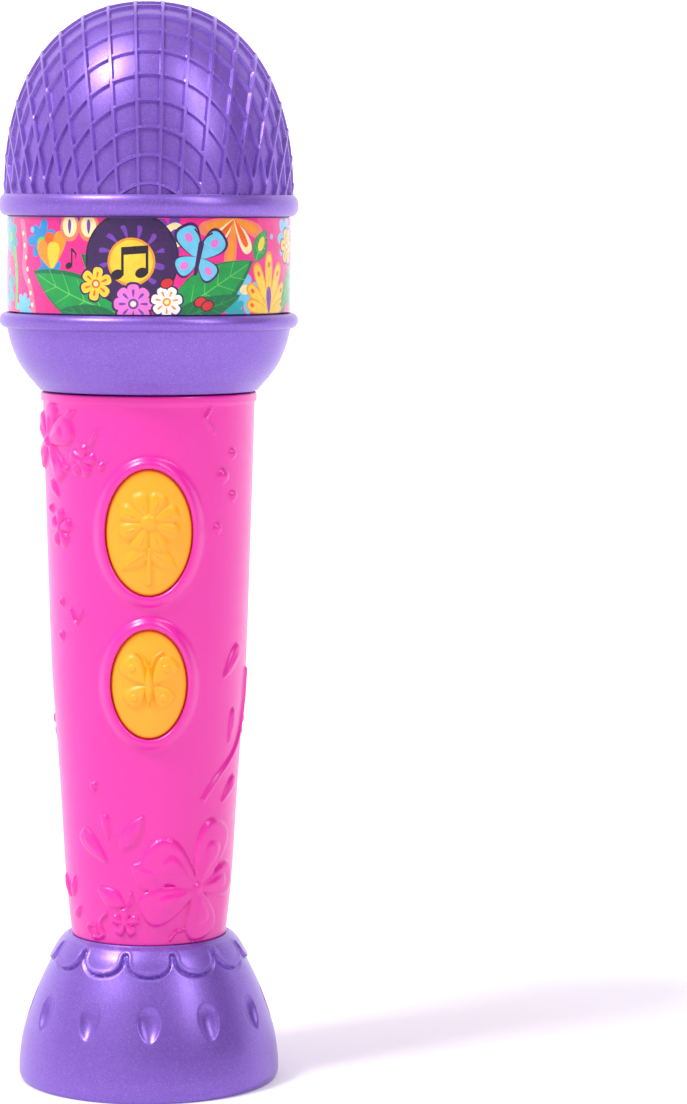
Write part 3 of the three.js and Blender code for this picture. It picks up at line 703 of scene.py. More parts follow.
class Print:
    """Flat artwork, in millimetres along the label and up from its middle, as (outline, ink) in turn."""

    def __init__(self):
        self.shapes = []

    def polygon(self, points, ink):
        self.shapes.append((np.array(points, float), ink))

    def ellipse(self, centre, radii, ink, turn=0.0, count=28):
        self.polygon(placed(unit_outline(count) * radii, centre, turn), ink)

    def petal(self, base, length, width, turn, ink, blunt=0.7):
        self.polygon(placed(petal_outline(length, width, blunt), base, turn), ink)

    def stroke(self, points, width, ink):
        """A line with round ends and a width that may taper from one end to the other."""
        path = smooth_curve(points, 8)
        wide = np.linspace(*np.broadcast_to(width, 2), len(path)) / 2
        tangent = directions(path)
        normal = np.column_stack([-tangent[:, 1], tangent[:, 0]]) * wide[:, None]

        def cap(end, way):
            angles = np.linspace(pi / 2, -pi / 2, 7)[1:-1] + atan2(tangent[end][1], tangent[end][0])
            return path[end] + way * wide[end] * np.column_stack([np.cos(angles), np.sin(angles)])

        self.polygon(np.vstack([path + normal, cap(-1, 1), (path - normal)[::-1], cap(0, -1)]), ink)

    def daisy(self, centre, size, petals, ink, heart, edge=None, turn=0.0):
        """A round flower, with an outline in another ink when edge is given."""
        ways = [turn + 360 * k / petals for k in range(petals)]
        for way in ways if edge else ():
            self.petal(centre, size * 1.12, size * 0.78, way, edge)
        for way in ways:
            self.petal(centre, size, size * 0.62, way, ink)
            self.petal(placed([(size * 0.34, 0)], centre, way)[0], size * 0.4, size * 0.14, way, heart)
        for share, colour in ((0.27, heart), (0.15, "cream")):
            self.ellipse(centre, (size * share, size * share), colour)

    def leaf(self, base, length, width, turn, ink="green", vein="lime", bend=0.0):
        """A broad leaf with a midrib and side veins, curved towards one side."""
        def curved(points):
            points = np.array(points, float)
            points[:, 1] += bend * (points[:, 0] / length) ** 2
            return placed(points, base, turn)

        self.polygon(curved(leaf_outline(length, width)), "forest")
        self.polygon(curved(leaf_outline(length * 0.97, width * 0.88) + (0, width * 0.03)), ink)
        self.stroke(curved([(length * t, 0) for t in (0.04, 0.35, 0.65, 0.93)]), (0.34, 0.14), vein)
        for t in (0.25, 0.4, 0.55, 0.7):
            for side in (-1, 1):
                tip = (length * (t + 0.12), side * width * 0.36 * sin(pi * t**0.85))
                self.stroke(curved([(length * t, 0), tip]), (0.2, 0.1), vein)

    def splat(self, centre, size, ink, seed):
        """A rounded blot with seven lobes of uneven length."""
        lengths = np.random.default_rng(seed).uniform(0.65, 1.15, 7)
        swell = np.sin(pi * np.arange(10) / 10) ** 0.8
        radius = size * (0.55 + 0.45 * np.outer(lengths, swell).ravel())
        self.polygon(centre + unit_outline(70) * radius[:, None], ink)

    def notes(self, centre, size, ink, heads=2):
        """One note, or a beamed pair."""
        tops = []
        for k in range(heads):
            x, y = np.add(centre, ((k - (heads - 1) / 2) * size, (k * 0.08 - 0.5) * size))
            self.ellipse((x, y), (0.27 * size, 0.2 * size), ink, 22)
            stem = x + 0.22 * size
            tops.append(np.array([stem, y + 1.05 * size]))
            self.stroke([(stem, y), (stem, y + 0.5 * size), tops[-1]], 0.11 * size, ink)
        if heads == 2:
            corners = ((0, -0.05, -0.26), (1, 0.05, -0.26), (1, 0.05, 0.06), (0, -0.05, 0.06))
            self.polygon([tops[k] + (dx * size, dy * size) for k, dx, dy in corners], ink)
        else:
            flag = [tops[0] + np.array(shift) * size for shift in ((0, 0), (0.3, -0.3), (0.26, -0.6))]
            self.stroke(flag, (0.16 * size, 0.05 * size), ink)

    def butterfly(self, centre, size, ink, spots, turn):
        for side in (-1, 1):
            for way, length, width in ((52, 1.0, 0.72), (-38, 0.72, 0.6)):
                angle = turn + 90 - side * (90 - way)
                self.petal(centre, size * length, size * width, angle, "plum", 1.0)
                self.petal(centre, size * length * 0.92, size * width * 0.84, angle, ink, 1.0)
                spot = placed([(size * length * 0.62, 0)], centre, angle)[0]
                self.ellipse(spot, (size * 0.13, size * 0.1), spots, angle)
        body = [(0, -0.42 * size), (0, 0), (0, 0.4 * size)]
        self.stroke(placed(body, centre, turn), (0.1 * size, 0.16 * size), "plum")
        for side in (-1, 1):
            feeler = size * np.array([(0, 0.38), (side * 0.1, 0.6), (side * 0.25, 0.74)])
            self.stroke(placed(feeler, centre, turn), 0.05 * size, "plum")


def far_layer(art):
    """Blots, blossoms and ferns behind the rest of the front."""
    for seed, x, y, size, ink in (
        (1, -24.6, 5.0, 4.4, "blue"), (2, -22.4, -1.0, 3.8, "blue"), (3, -38, 6, 4.6, "teal"),
        (4, -40, -5, 4.6, "teal"), (5, 4.5, 6.0, 4.6, "violet"), (6, 21.5, -5.6, 4.4, "sky"),
        (7, 37, 5.6, 4.8, "sky"), (8, 33, -8.5, 3.6, "violet"), (9, -31, -8.6, 3.2, "sky"),
        (10, -16.5, 8.6, 3.6, "violet"), (12, 18.4, -8.6, 3.2, "teal"),
    ):
        art.splat((x, y), size, ink, seed)
    for x, y, size in ((-24.4, 4.6, 1.5), (21.3, -4.8, 1.3), (36.8, 5.4, 1.4), (-37.8, 5.6, 1.3)):
        art.ellipse((x, y), (size, size * 0.8), "lime" if x < 0 else "cream")
    fan = ((96, 7.4, "flame"), (70, 8.0, "orange"), (124, 6.6, "orange"), (84, 5.4, "yellow"))
    for turn, length, ink in fan:
        art.petal((-21.6, -0.6), length, 3.3, turn, ink, 0.6)
    for x in (-17.0, -12.6):
        art.ellipse((x, 7.8), (2.3, 2.9), "coral")
        art.ellipse((x, 8.0), (1.7, 2.2), "cream")
        art.petal((x, 6.4), 3.0, 0.8, 90, "violet", 0.4)
    ribbon = [(-31.5, 8.6), (-30.4, 4.0), (-30.8, -1.0), (-28.4, -5.0), (-27.2, -10.2)]
    art.stroke(ribbon, (1.9, 1.5), "rose")
    for t in np.linspace(0, 1, 7):
        art.ellipse((-31.2 + 3.4 * t, 6.4 - 14.6 * t), (0.42, 0.5), "cream")
    art.stroke([(-35.6, 3.0), (-34.4, -2.0), (-34.6, -9.0)], (1.6, 0.9), "lime")
    art.stroke([(2.6, 6.6), (5.4, 8.2), (7.2, 6.4), (5.8, 4.4), (4.4, 4.8)], (1.5, 0.8), "cream")
    dots = ((8.6, 7.6, 0.7), (9.4, 5.6, 0.5), (-27.6, 7.2, 0.6), (30.0, 6.0, 0.6), (-19.6, -5.2, 0.6))
    for x, y, size in dots:
        art.ellipse((x, y), (size, size), "sky")
    hanging = (18.6, 9.6)
    for k, (turn, length) in enumerate(((196, 8.6), (226, 9.0), (262, 10.6), (300, 8.0), (338, 8.4))):
        art.petal(hanging, length, 3.0, turn, "cream" if k % 2 else "coral", 0.9)
        art.petal(hanging, length * 0.82, 1.5, turn, "flame" if k % 2 else "orange", 0.9)
    art.leaf((24.4, 1.0), 7.4, 4.6, 62)
    art.ellipse((26.3, 4.5), (0.9, 1.6), "yellow", -26)
    fern = (29.0, -9.6)
    for turn, length in ((90, 12.6), (114, 11.2), (66, 11.2), (140, 9.0), (40, 9.0), (164, 7.4), (16, 7.4)):
        art.petal(fern, length, 2.9, turn, "orange", 0.9)
        art.petal(fern, length * 0.95, 2.3, turn, "yellow", 0.9)
        art.ellipse(placed([(length * 0.78, 0)], fern, turn)[0], (0.62, 0.42), "flame", turn)
    art.petal((29.0, -9.8), 5.6, 1.8, 90, "violet", 0.5)


def middle_group(art):
    """Leaves round a great dark blossom with a pair of notes, smaller flowers and a butterfly."""
    art.leaf((-4.0, -9.0), 15.5, 5.2, 128, "forest", "green", 1.0)
    art.leaf((-4.0, -10.4), 25.0, 9.6, 163, bend=-2.0)
    art.leaf((-5.0, -11.2), 15.0, 4.8, 172, "forest", "green")
    art.leaf((4.0, -11.0), 23.0, 9.6, 38, bend=-2.6)
    art.leaf((3.0, -11.2), 18.0, 5.0, 14, "forest", "green", 1.0)
    art.ellipse((-3.6, 1.5), (9.7, 9.7), "night", count=60)
    art.daisy((-3.6, 1.5), 9.4, 12, "plum", "violet", turn=15)
    art.ellipse((-3.6, 0.9), (4.9, 4.9), "orange")
    art.ellipse((-3.6, 0.9), (4.4, 4.4), "yellow")
    art.notes((-4.0, 0.8), 5.0, "night")
    art.daisy((-3.2, -7.6), 4.0, 8, "orchid", "violet", "plum", 0)
    art.daisy((-11.0, -3.6), 3.4, 6, "yellow", "flame", "plum", 20)
    art.daisy((3.6, -7.2), 3.2, 7, "white", "orange", "plum", 12)
    art.butterfly((10.2, 1.6), 7.6, "sky", "orchid", -12)
    for berry in ((3.6, -3.4), (10.6, -7.2), (12.2, -8.0)):
        art.ellipse(berry, (1.5, 1.1), "night", 20)
        art.ellipse(berry, (1.25, 0.9), "red", 20)
    art.notes((-17.2, 1.6), 3.2, "night", 1)


def label_back(art):
    """A row of flowers over leaves, round the sides and the back."""
    draw = np.random.default_rng(11)
    length = TAU * LABEL_RADIUS
    blots = ("teal", "blue", "violet")
    daisies = (("yellow", "flame"), ("orange", "plum"), ("rose", "violet"), ("white", "orange"))
    for k in range(14):
        x = 39 + 9.4 * k + draw.uniform(-1, 1)
        if x > length - 40:
            break
        x -= length * (x > length / 2)
        high = draw.uniform(2.5, 5.5)
        art.splat((x + 3.5, -high), 4.0, blots[k % 3], 30 + k)
        art.leaf((x - 3.5, -9.4), 12, 4.6, draw.uniform(38, 62), bend=1.0)
        art.leaf((x + 4.0, -9.6), 10, 4.4, draw.uniform(118, 140), bend=-1.0)
        art.daisy((x, high), draw.uniform(3.6, 4.8), 6 + k % 3, *daisies[k % 4], "plum", draw.uniform(0, 60))
        if k % 3 == 1:
            art.notes((x + 4.6, 4.4), 2.6, "plum", 1 + k % 2)


def anticlockwise(points):
    """The outline from its leftmost point, with its inside on the left."""
    points = np.roll(points, -int(points[:, 0].argmin()), axis=0)
    before, after = points[0] - points[-1], points[1] - points[0]
    return points if before[0] * after[1] > before[1] * after[0] else np.roll(points[::-1], 1, axis=0)


def label_sector(shapes, first, last, half_height):
    """The part of the label between two places along it, cut up by the shapes that reach into it."""
    here = [shape for shape in shapes if shape[0][:, 0].max() > first and shape[0][:, 0].min() < last]
    points = [(first, -half_height), (last, -half_height), (last, half_height), (first, half_height)]
    loops = [[0, 1, 2, 3]]
    for outline, _ in here:
        loops.append(list(range(len(points), len(points) + len(outline))))
        points.extend(map(tuple, outline))
    edges = []
    for x in np.linspace(first, last, SECTOR_STRIPS + 1)[1:-1]:
        edges.append((len(points), len(points) + 1))
        points.extend([(x, -half_height), (x, half_height)])
    made, _, faces, _, _, sources = delaunay_2d_cdt([Vector(p) for p in points], edges, loops, 0, 1e-5)
    kept = [(face, max(source)) for face, source in zip(faces, sources) if 0 in source]
    inks = ["pink" if top == 0 else here[top - 1][1] for _, top in kept]
    return (np.array([tuple(p) for p in made]), [face for face, _ in kept]), inks


def add_label():
    """The printed label: faces of one ink each, wrapped round the drum, with a thin edge."""
    art = Print()
    far_layer(art)
    middle_group(art)
    label_back(art)
    shapes = [(anticlockwise(points), ink) for points, ink in art.shapes]
    half_height = (LABEL_HIGH - LABEL_LOW) / 2
    ends = np.linspace(-pi, pi, LABEL_SECTORS + 1) * LABEL_RADIUS
    sectors = [label_sector(shapes, first, last, half_height) for first, last in zip(ends, ends[1:])]
    flat, faces = together(*(shape for shape, _ in sectors))
    angle = flat[:, 0] / LABEL_RADIUS
    height = (LABEL_LOW + LABEL_HIGH) / 2 + flat[:, 1]
    around = [LABEL_RADIUS * np.sin(angle), -LABEL_RADIUS * np.cos(angle)]
    mesh = new_mesh("printed_label", (np.column_stack([*around, height]), faces))
    values = []
    for polygon, ink in zip(mesh.polygons, (ink for _, inks in sectors for ink in inks)):
        values.extend(linear(*INKS[ink]) * polygon.loop_total)
    mesh.color_attributes.new("ink", "BYTE_COLOR", "CORNER").data.foreach_set("color", values)
    with edited(mesh) as bm:
        bmesh.ops.remove_doubles(bm, verts=bm.verts, dist=2e-6)
        bmesh.ops.delete(bm, geom=[v for v in bm.verts if not v.link_faces], context="VERTS")
        rims = [edge for edge in bm.edges if edge.is_boundary]
        lip = bmesh.ops.extrude_edge_only(bm, edges=rims)["geom"]
        inward = 1 - LABEL_THICK / LABEL_RADIUS
        for vertex in of_kind(lip, bmesh.types.BMVert):
            vertex.co = vertex.co * Vector((inward, inward, 1))
    add_piece("printed_label", mesh, "printed_label", "label_band", sharp=40)


# ---- Handle ornament: flowers, leaves and vines in low relief ----
# Each raised shape is (degrees round the handle, height, outline about that place, relief).
VINE_RELIEF = 0.55


def dot(radius, count):
    return arc((0, 0), (radius, radius), 0, 342, count)


def flower(angle, z, petals):
    """Petals given as (direction, length, width), each with a smaller one raised on it."""
    shapes = [(angle, z, dot(1.2, 20), 1.4)]
    for turn, length, width in petals:
        inner = petal_outline(length * 0.56, width * 0.5, 1.0) + (length * 0.16, 0)
        shapes.append((angle, z, placed(petal_outline(length, width, 1.0), turn=turn), 0.8))
        shapes.append((angle, z, placed(inner, turn=turn), 1.15))
    return shapes


def even_flower(angle, z, first, length, width):
    return flower(angle, z, [(first + 72 * k, length, width) for k in range(5)])


def little_flower(angle, z, size, turn=90.0):
    outline = petal_outline(size, size * 0.66, 1.0)
    shapes = [(angle, z, placed(outline, turn=turn + 72 * k), 0.78) for k in range(5)]
    return shapes + [(angle, z, dot(size * 0.2, 16), 1.0)]


def leaf(angle, z, length, width, turn, pointed=True):
    outline = leaf_outline(length, width) if pointed else petal_outline(length, width, 1.0)
    inner = outline * (0.62, 0.5) + (length * 0.2, 0)
    return [(angle, z, placed(outline, turn=turn), 0.66), (angle, z, placed(inner, turn=turn), 0.92)]


def beads(*places):
    """Round beads given as (degrees, height, radius)."""
    return [(angle, z, dot(radius, 18), 0.9) for angle, z, radius in places]


def ornament():
    """Every raised shape of the handle."""
    return [
        *leaf(12, 44.6, 8.4, 6.6, 152),
        *flower(33.4, 43.2, [(138, 13.8, 8.6), (65, 15.0, 8.8), (6, 12.0, 7.0), (284, 11.4, 8.4),
                             (203, 12.8, 8.0)]),
        *leaf(-28.6, 48.8, 9.0, 3.9, 137, False), *leaf(-27.2, 53.6, 5.6, 2.0, 100, False),
        *leaf(-19.2, 51.6, 9.0, 3.6, 56), *leaf(-17.4, 39.6, 7.0, 3.9, 148),
        *little_flower(-17.1, 36.1, 3.1), *leaf(-70.5, 39.8, 5.4, 2.0, 118),
        *leaf(-66.0, 40.2, 5.0, 2.2, 70), *leaf(-66.0, 35.8, 4.2, 2.0, 40),
        *leaf(54.1, 60.8, 7.2, 2.8, 42, False), *leaf(58.2, 73.2, 7.4, 1.7, 82, False),
        *leaf(49.0, 87.4, 8.6, 3.8, 47, False),
        *flower(-68.4, 136.6, [(78, 8.2, 5.0), (22, 9.6, 6.2), (306, 9.4, 4.8), (212, 8.6, 5.2),
                               (150, 8.8, 5.4)]),
        *leaf(-53.1, 141.6, 4.4, 1.8, 22), *leaf(-33.8, 135.9, 4.6, 1.3, 60),
        *little_flower(-38.8, 133.0, 3.4, 84), *leaf(-68.6, 128.6, 5.2, 2.2, 318),
        *little_flower(-58.1, 118.6, 4.0, 88),
        *beads((-37.2, 65.0, 0.9), (-26.5, 132.1, 0.8), (-50.4, 131.2, 0.7), (-68.4, 122.6, 0.8),
               (-58.4, 103.1, 0.8), (-59.7, 96.0, 0.9), (51.9, 134.4, 0.9), (44.4, 129.8, 1.4),
               (52.9, 125.6, 1.0), (40.9, 118.9, 0.95)),
        *back_plants(-1), *back_plants(1), *even_flower(124, 128, 84, 8.2, 5.0),
    ]


def back_plants(side):
    """The plants on one side of the battery door."""
    return [
        *even_flower(side * 127, 58, 90, 8.4, 5.2),
        *little_flower(side * 106, 76, 3.6), *little_flower(side * 124, 111, 3.4, 60),
        *leaf(side * 114, 92, 8.0, 3.2, 90 - 24 * side), *leaf(side * 122, 84, 6.5, 2.6, 90 + 30 * side),
        *beads((side * 104, 100, 0.9), (side * 112, 104.5, 0.7), (side * 126, 72, 0.8)),
    ]


def vines():
    """Thin raised lines on the handle, as (list of (degrees, height), half width)."""
    back = [(118, 66), (106, 71), (107, 78), (116, 84), (122, 92), (118, 102)]
    return [
        ([(36.9, 61.9), (47.7, 66.0), (58.5, 68.9), (66.4, 71.2), (74.0, 74.6), (79.0, 80.5),
          (80.0, 88.0)], 0.5),
        ([(-12.4, 42.4), (-11.8, 40.8), (-15.3, 39.3)], 0.24),
        ([(-31.0, 37.9), (-37.3, 35.6), (-34.5, 33.2), (-43.0, 32.4), (-49.4, 34.4), (-42.1, 35.0),
          (-40, 33.6)], 0.28),
        ([(15.7, 32.6), (19.5, 34.0), (25.8, 34.5)], 0.26),
        ([(-50.0, 101.8), (-45.3, 99.1), (-40.6, 101.7)], 0.22),
        ([(34.8, 144.0), (31.6, 141.9), (37.1, 139.0)], 0.22),
        *(([(side * angle, z) for angle, z in back], 0.3) for side in (-1, 1)),
    ]


def relief(angles, heights):
    """Ornament height at each point of the handle: each shape steps up at its outline and swells inside."""
    raised = np.zeros(angles.shape)
    for angle, z, outline, height in ornament():
        around = (angles - angle + 180) % 360 - 180
        flat = np.stack([np.radians(around) * handle_radius(z), heights - z], -1)
        near = ((flat > outline.min(0) - 1) & (flat < outline.max(0) + 1)).all(-1)
        if near.any():
            depth = depth_in(flat[near], outline)
            swell = 1 - (1 - np.clip(depth / 1.5, 0, 1)) ** 2
            raised[near] = np.maximum(raised[near], height * (0.6 * step(depth, -0.16, 0.2) + 0.4 * swell))
    for path, width in vines():
        track = smooth_curve(path, 6)
        near = (heights > track[:, 1].min() - 1.5) & (heights < track[:, 1].max() + 1.5)
        around = (angles[near] - track[0, 0] + 180) % 360 - 180 + track[0, 0]
        scale = np.radians(1) * float(handle_radius(track[:, 1].mean()))
        line = track * (scale, 1)
        distance = distance_to(np.column_stack([around * scale, heights[near]]), line[:-1], line[1:])
        rise = VINE_RELIEF * (1 - step(distance, width * 0.3, width * 1.9))
        raised[near] = np.maximum(raised[near], rise)
    return raised


# ---- Handle shells ----
def quarter_round(radius):
    """Steps round an edge as (inset, rise)."""
    turns = radians(90) * np.linspace(0.25, 1, 4)
    return [(radius * (1 - cos(a)), radius * sin(a)) for a in turns]


class Shell:
    """Half of the handle as a fine grid, into which openings are cut with their own edge profiles."""

    def __init__(self, back):
        self.way = 1 if back else -1
        self.rows, self.columns = 336, 214
        mean_radius = 20
        sweep = 90 - degrees(SEAM / mean_radius)
        angles = (180 if back else 0) + np.linspace(-sweep, sweep, self.columns)
        heights = np.linspace(HANDLE_BOTTOM + HANDLE_EDGES[0], HANDLE_TOP - HANDLE_EDGES[1], self.rows)
        angle, z = np.meshgrid((angles + 180) % 360 - 180, heights)
        radius = handle_radius(z) + relief(angle, z)
        turn = np.radians(angle)
        self.grid = np.stack([radius * np.sin(turn), -radius * np.cos(turn), z], -1)
        self.vertices = self.grid.reshape(-1, 3).copy()
        self.quads = np.array(rings_to_faces(self.rows, self.columns, wrap=False))
        self.caps = []
        self.round_seam()
        self.round_ends()

    def round_seam(self):
        """Rounds the edges along the seam. Inside, the front has a tongue and the back a rebate for it."""
        profile = [(inset, SEAM - rise) for inset, rise in quarter_round(0.3)]
        if self.way > 0:
            profile += [(0.35, 0.05), (0.35, 0.9), (2.2, 0.9)]
        else:
            profile += [(0.5, 0.05), (0.5, -0.7), (1.5, -0.7), (1.5, 0.6)]
        for column in (0, self.columns - 1):
            line = self.grid[:, column]
            side = np.sign(line[0, 0])
            rows = []
            for inset, depth in profile:
                flat = np.column_stack([line[:, 0] - side * inset, line[:, 2]])
                rows.append(upright(flat, self.way * depth))
            self.extend(np.arange(self.rows) * self.columns + column, rows)

    def round_ends(self):
        """Rounds the bottom and the top edge, and turns them inwards."""
        for row, up, edge in ((0, -1, HANDLE_EDGES[0]), (self.rows - 1, 1, HANDLE_EDGES[1])):
            line = self.grid[row]
            length = np.hypot(line[:, 0], line[:, 1])[:, None]
            rows = [lifted(line[:, :2] / length * (length - inset), line[0, 2] + up * rise)
                    for inset, rise in quarter_round(edge) + [(2.6, edge)]]
            self.extend(np.arange(self.columns) + row * self.columns, rows)

    def opening(self, middle, rings, power=2, cap=False):
        """Cuts an opening whose outline is a superellipse in x and z, and builds its edge from rings.

        Each ring is (half width, half height, height of its middle, "proud" or "at", value): proud follows
        the handle's surface at a distance, and at is a fixed y. The first ring lies on the shell's grid."""
        a, b, z_middle = rings[0][:3]
        across = (self.vertices[:, ::2] - (middle, z_middle)) / (a, b)
        inside = (superellipse_size(across, power) < 1.0) & (self.vertices[:, 1] * self.way > 0)
        cut = inside[self.quads].any(axis=1)
        loop = border_loop(self.quads[cut])
        self.quads = self.quads[~cut]
        unit = across[loop]
        # The cut's border is a staircase. Averaging neighbours on the outline spaces its points evenly.
        for _ in range(12):
            unit = (np.roll(unit, 1, axis=0) + np.roll(unit, -1, axis=0)) / 2
            unit /= superellipse_size(unit, power)[:, None]
        rows = []
        for half_width, half_height, centre, kind, value in rings:
            flat = (middle, centre) + unit * (half_width, half_height)
            rows.append(on_handle(flat, value, self.way) if kind == "proud" else upright(flat, value))
        self.vertices[loop] = rows[0]
        last = self.extend(loop, rows[1:], closed=True)
        if cap:
            self.caps.append(tuple(last))

    def extend(self, border, rows, closed=False):
        """Quads from a border of vertex numbers through rows of new points. Returns the last row."""
        for row in rows:
            added = np.arange(len(row)) + len(self.vertices)
            self.vertices = np.concatenate([self.vertices, row])
            first, second = (np.append(ends, ends[:1]) if closed else ends for ends in (border, added))
            quads = np.column_stack([first[:-1], first[1:], second[1:], second[:-1]])
            self.quads = np.concatenate([self.quads, quads])
            border = added
        return border

    def shape(self):
        return self.vertices, [tuple(quad) for quad in self.quads.tolist()] + self.caps


def superellipse_size(points, power):
    """1 on the unit superellipse, less inside it."""
    return (np.abs(points) ** power).sum(axis=1) ** (1 / power)


def border_loop(quads):
    """The vertices round a patch of quads, in order."""
    edges = {edge for quad in quads.tolist() for edge in zip(quad, quad[1:] + quad[:1])}
    following = {a: b for a, b in edges if (b, a) not in edges}
    loop = [min(following)]
    while following[loop[-1]] != loop[0]:
        loop.append(following[loop[-1]])
    return loop


def soft_edge(a, b, z):
    """The first rings of an opening: a small rounding from the surface into the wall."""
    return [(a + out, b + out, z, "proud", proud) for out, proud in ((0.3, 0), (0.1, -0.06), (0, -0.25))]


def front_shell():
    """The front half, with a bezel and a sleeve for each button."""
    shell = Shell(back=False)
    for button in (UPPER_BUTTON, LOWER_BUTTON):
        a, b, z = button["half"][0] + CAP_GAP[0], button["half"][1] + CAP_GAP[1], button["z"]
        bezel = [(a + out, b + out, z, "proud", proud) for out, proud in BEZEL]
        shell.opening(0, bezel + [(a, b, z, "at", SLEEVE_END)])
    return shell.shape()


def back_shell():
    """The back half, with its screw wells, the battery bay behind the door, and the switch's slot."""
    shell = Shell(back=True)
    well, hole = (WELL_RADIUS, WELL_RADIUS), (HOLE_RADIUS, HOLE_RADIUS)
    for x, z in HANDLE_SCREWS:
        inner = [(*well, z, "at", 6), (*hole, z, "at", 6), (*hole, z, "at", 1)]
        shell.opening(x, soft_edge(*well, z) + inner)
    frame_size = DOOR_HALF_WIDTH + DOOR_GAP, DOOR_HALF_HEIGHT + DOOR_GAP, DOOR_MIDDLE
    bay = (*BAY["half"], BAY["z"])
    inner = [(*frame_size, "proud", DOOR_LEDGE), (*bay, "proud", DOOR_LEDGE), (*bay, "at", BAY["floor"])]
    shell.opening(0, soft_edge(*frame_size) + inner, DOOR_POWER, cap=True)
    deep, z = float(handle_radius(SWITCH_Z)) - 0.9, SWITCH_Z
    shell.opening(0, [
        (4.1, 5.3, z, "proud", 0), (3.9, 5.1, z, "proud", -0.08), (3.7, 4.9, z, "proud", -0.3),
        (3.5, 4.7, z, "at", deep), (2.0, 3.6, z, "at", deep), (1.8, 3.4, z, "at", deep - 0.2),
        (1.8, 3.4, z, "at", 17.2),
    ], 5)
    return shell.shape()


# ---- Buttons: their raised shapes are (outline, height, width of the soft edge) ----
def pillow(points, shapes):
    """The height of soft raised shapes at flat points."""
    level = np.zeros(len(points))
    for outline, height, soft in shapes:
        near = ((points > outline.min(0) - 0.5) & (points < outline.max(0) + 0.5)).all(1)
        rise = 1 - (1 - np.clip((depth_in(points[near], outline) + 0.1) / soft, 0, 1)) ** 2
        level[near] = np.maximum(level[near], height * rise)
    return level


def blossom_motif():
    """An eight-petalled blossom over two leaves."""
    shapes = [(np.array([(-0.5, -3), (0.5, -3), (0.6, -10.6), (0, -11), (-0.6, -10.6)]), 0.5, 0.5),
              (circle((0, 2.2), 2.1, 24), 1.15, 1.5)]
    for turn in (218, 322):
        shapes.append((placed(leaf_outline(7.4, 3.9), (0, -3.2), turn), 0.45, 1.1))
        shapes.append((placed(leaf_outline(6.2, 0.5), (0, -3.2), turn), 0.62, 0.25))
    for turn in np.arange(22.5, 360, 45):
        shapes.append((placed(petal_outline(6.6, 3.9, 1.0), (0, 2.2), turn), 0.75, 1.3))
        shapes.append((placed(leaf_outline(2.4, 0.5) + (2.9, 0), (0, 2.2), turn), 0.92, 0.25))
    return shapes


def butterfly_motif():
    """A butterfly with spotted wings."""
    shapes = [(placed(leaf_outline(9.6, 1.9), (0, -4.6), 90), 1.0, 0.8)]
    for side in (-1, 1):
        for way, length, width in ((48, 7.2, 5.0), (-44, 5.8, 4.3)):
            turn = way if side > 0 else 180 - way
            shapes.append((placed(petal_outline(length, width, 1.0), (side * 0.4, 0), turn), 0.6, 1.0))
            spot = placed([(length * 0.66, 0)], (side * 0.4, 0), turn)[0]
            shapes.append((circle(spot, 1.0, 20), 0.92, 0.6))
        feeler = smooth_curve([(side * 0.3, 3.6), (side * 1.2, 5.8), (side * 2.9, 7.0)], 6)
        shapes.append((np.vstack([feeler + (0.25, 0), feeler[::-1] - (0.25, 0)]), 0.5, 0.25))
    return shapes


def button_cap(half, z, motif):
    """A crowned oval cap with its motif, a straight skirt, a flange behind it and the stem on the pad."""
    unit = unit_outline(280)
    half, middle = np.array(half), (0, z)
    edge_radius, edge_proud = 0.5, 0.46
    inner = half - edge_radius
    rings = []
    for share in np.linspace(0, 1, 72):
        flat = unit * share * inner
        edge = np.linalg.norm(flat / half, axis=1)
        raised = pillow(flat, motif) * (1 - step(edge, 0.86, 0.93))
        proud = CAP_PROUD + CAP_CROWN * (1 - edge**2) + raised
        rings.append(on_handle(flat + middle, proud))
    for a in radians(90) * np.linspace(0.2, 1, 5):
        flat = unit * (inner + edge_radius * sin(a)) + middle
        rings.append(on_handle(flat, edge_proud - edge_radius * (1 - cos(a))))
    for out, depth in ((0.2, -0.2), (0.2, -0.5), (0.0, -0.7)):
        rings.append(on_handle(unit * (half + out) + middle, depth))
    for size, y in ((half, FLANGE_FRONT), (half + 1.4, FLANGE_FRONT), (half + 1.4, FLANGE_BACK),
                    (STEM_RADIUS, FLANGE_BACK), (STEM_RADIUS, STEM_END), (0, STEM_END)):
        rings.append(upright(unit * size + middle, y))
    return skinned(rings)


# ---- Base ----
def scallops(pitch, turn_radius=0.6):
    """Three round lobes of the shoulder's edge, joined by small round peaks."""
    high = LOBE_HIGH - turn_radius
    turn = np.radians(np.linspace(180, 360, 25))[1:-1]
    power = 2 / 2.3
    across = (pitch / 2 - turn_radius) * np.sign(np.cos(turn)) * np.abs(np.cos(turn)) ** power
    lobe = np.column_stack([across, high - (high - LOBE_LOW) * np.abs(np.sin(turn)) ** power])
    peak = arc((pitch / 2, high), (turn_radius, turn_radius), 180, 0, 9)
    return np.vstack([np.vstack([lobe, peak]) + (k * pitch, 0) for k in (-1, 0, 1)])


def dimple(across, up):
    """The share of an egg-shaped dimple's depth, at places across it and at shares of its length up it."""
    half = DIMPLE["width"] / 2 * (0.72 + 0.4 * np.clip(up, 0, 1))
    return np.clip(1 - (2 * up - 1) ** 2 - (across / half) ** 2, 0, 1) ** 0.75


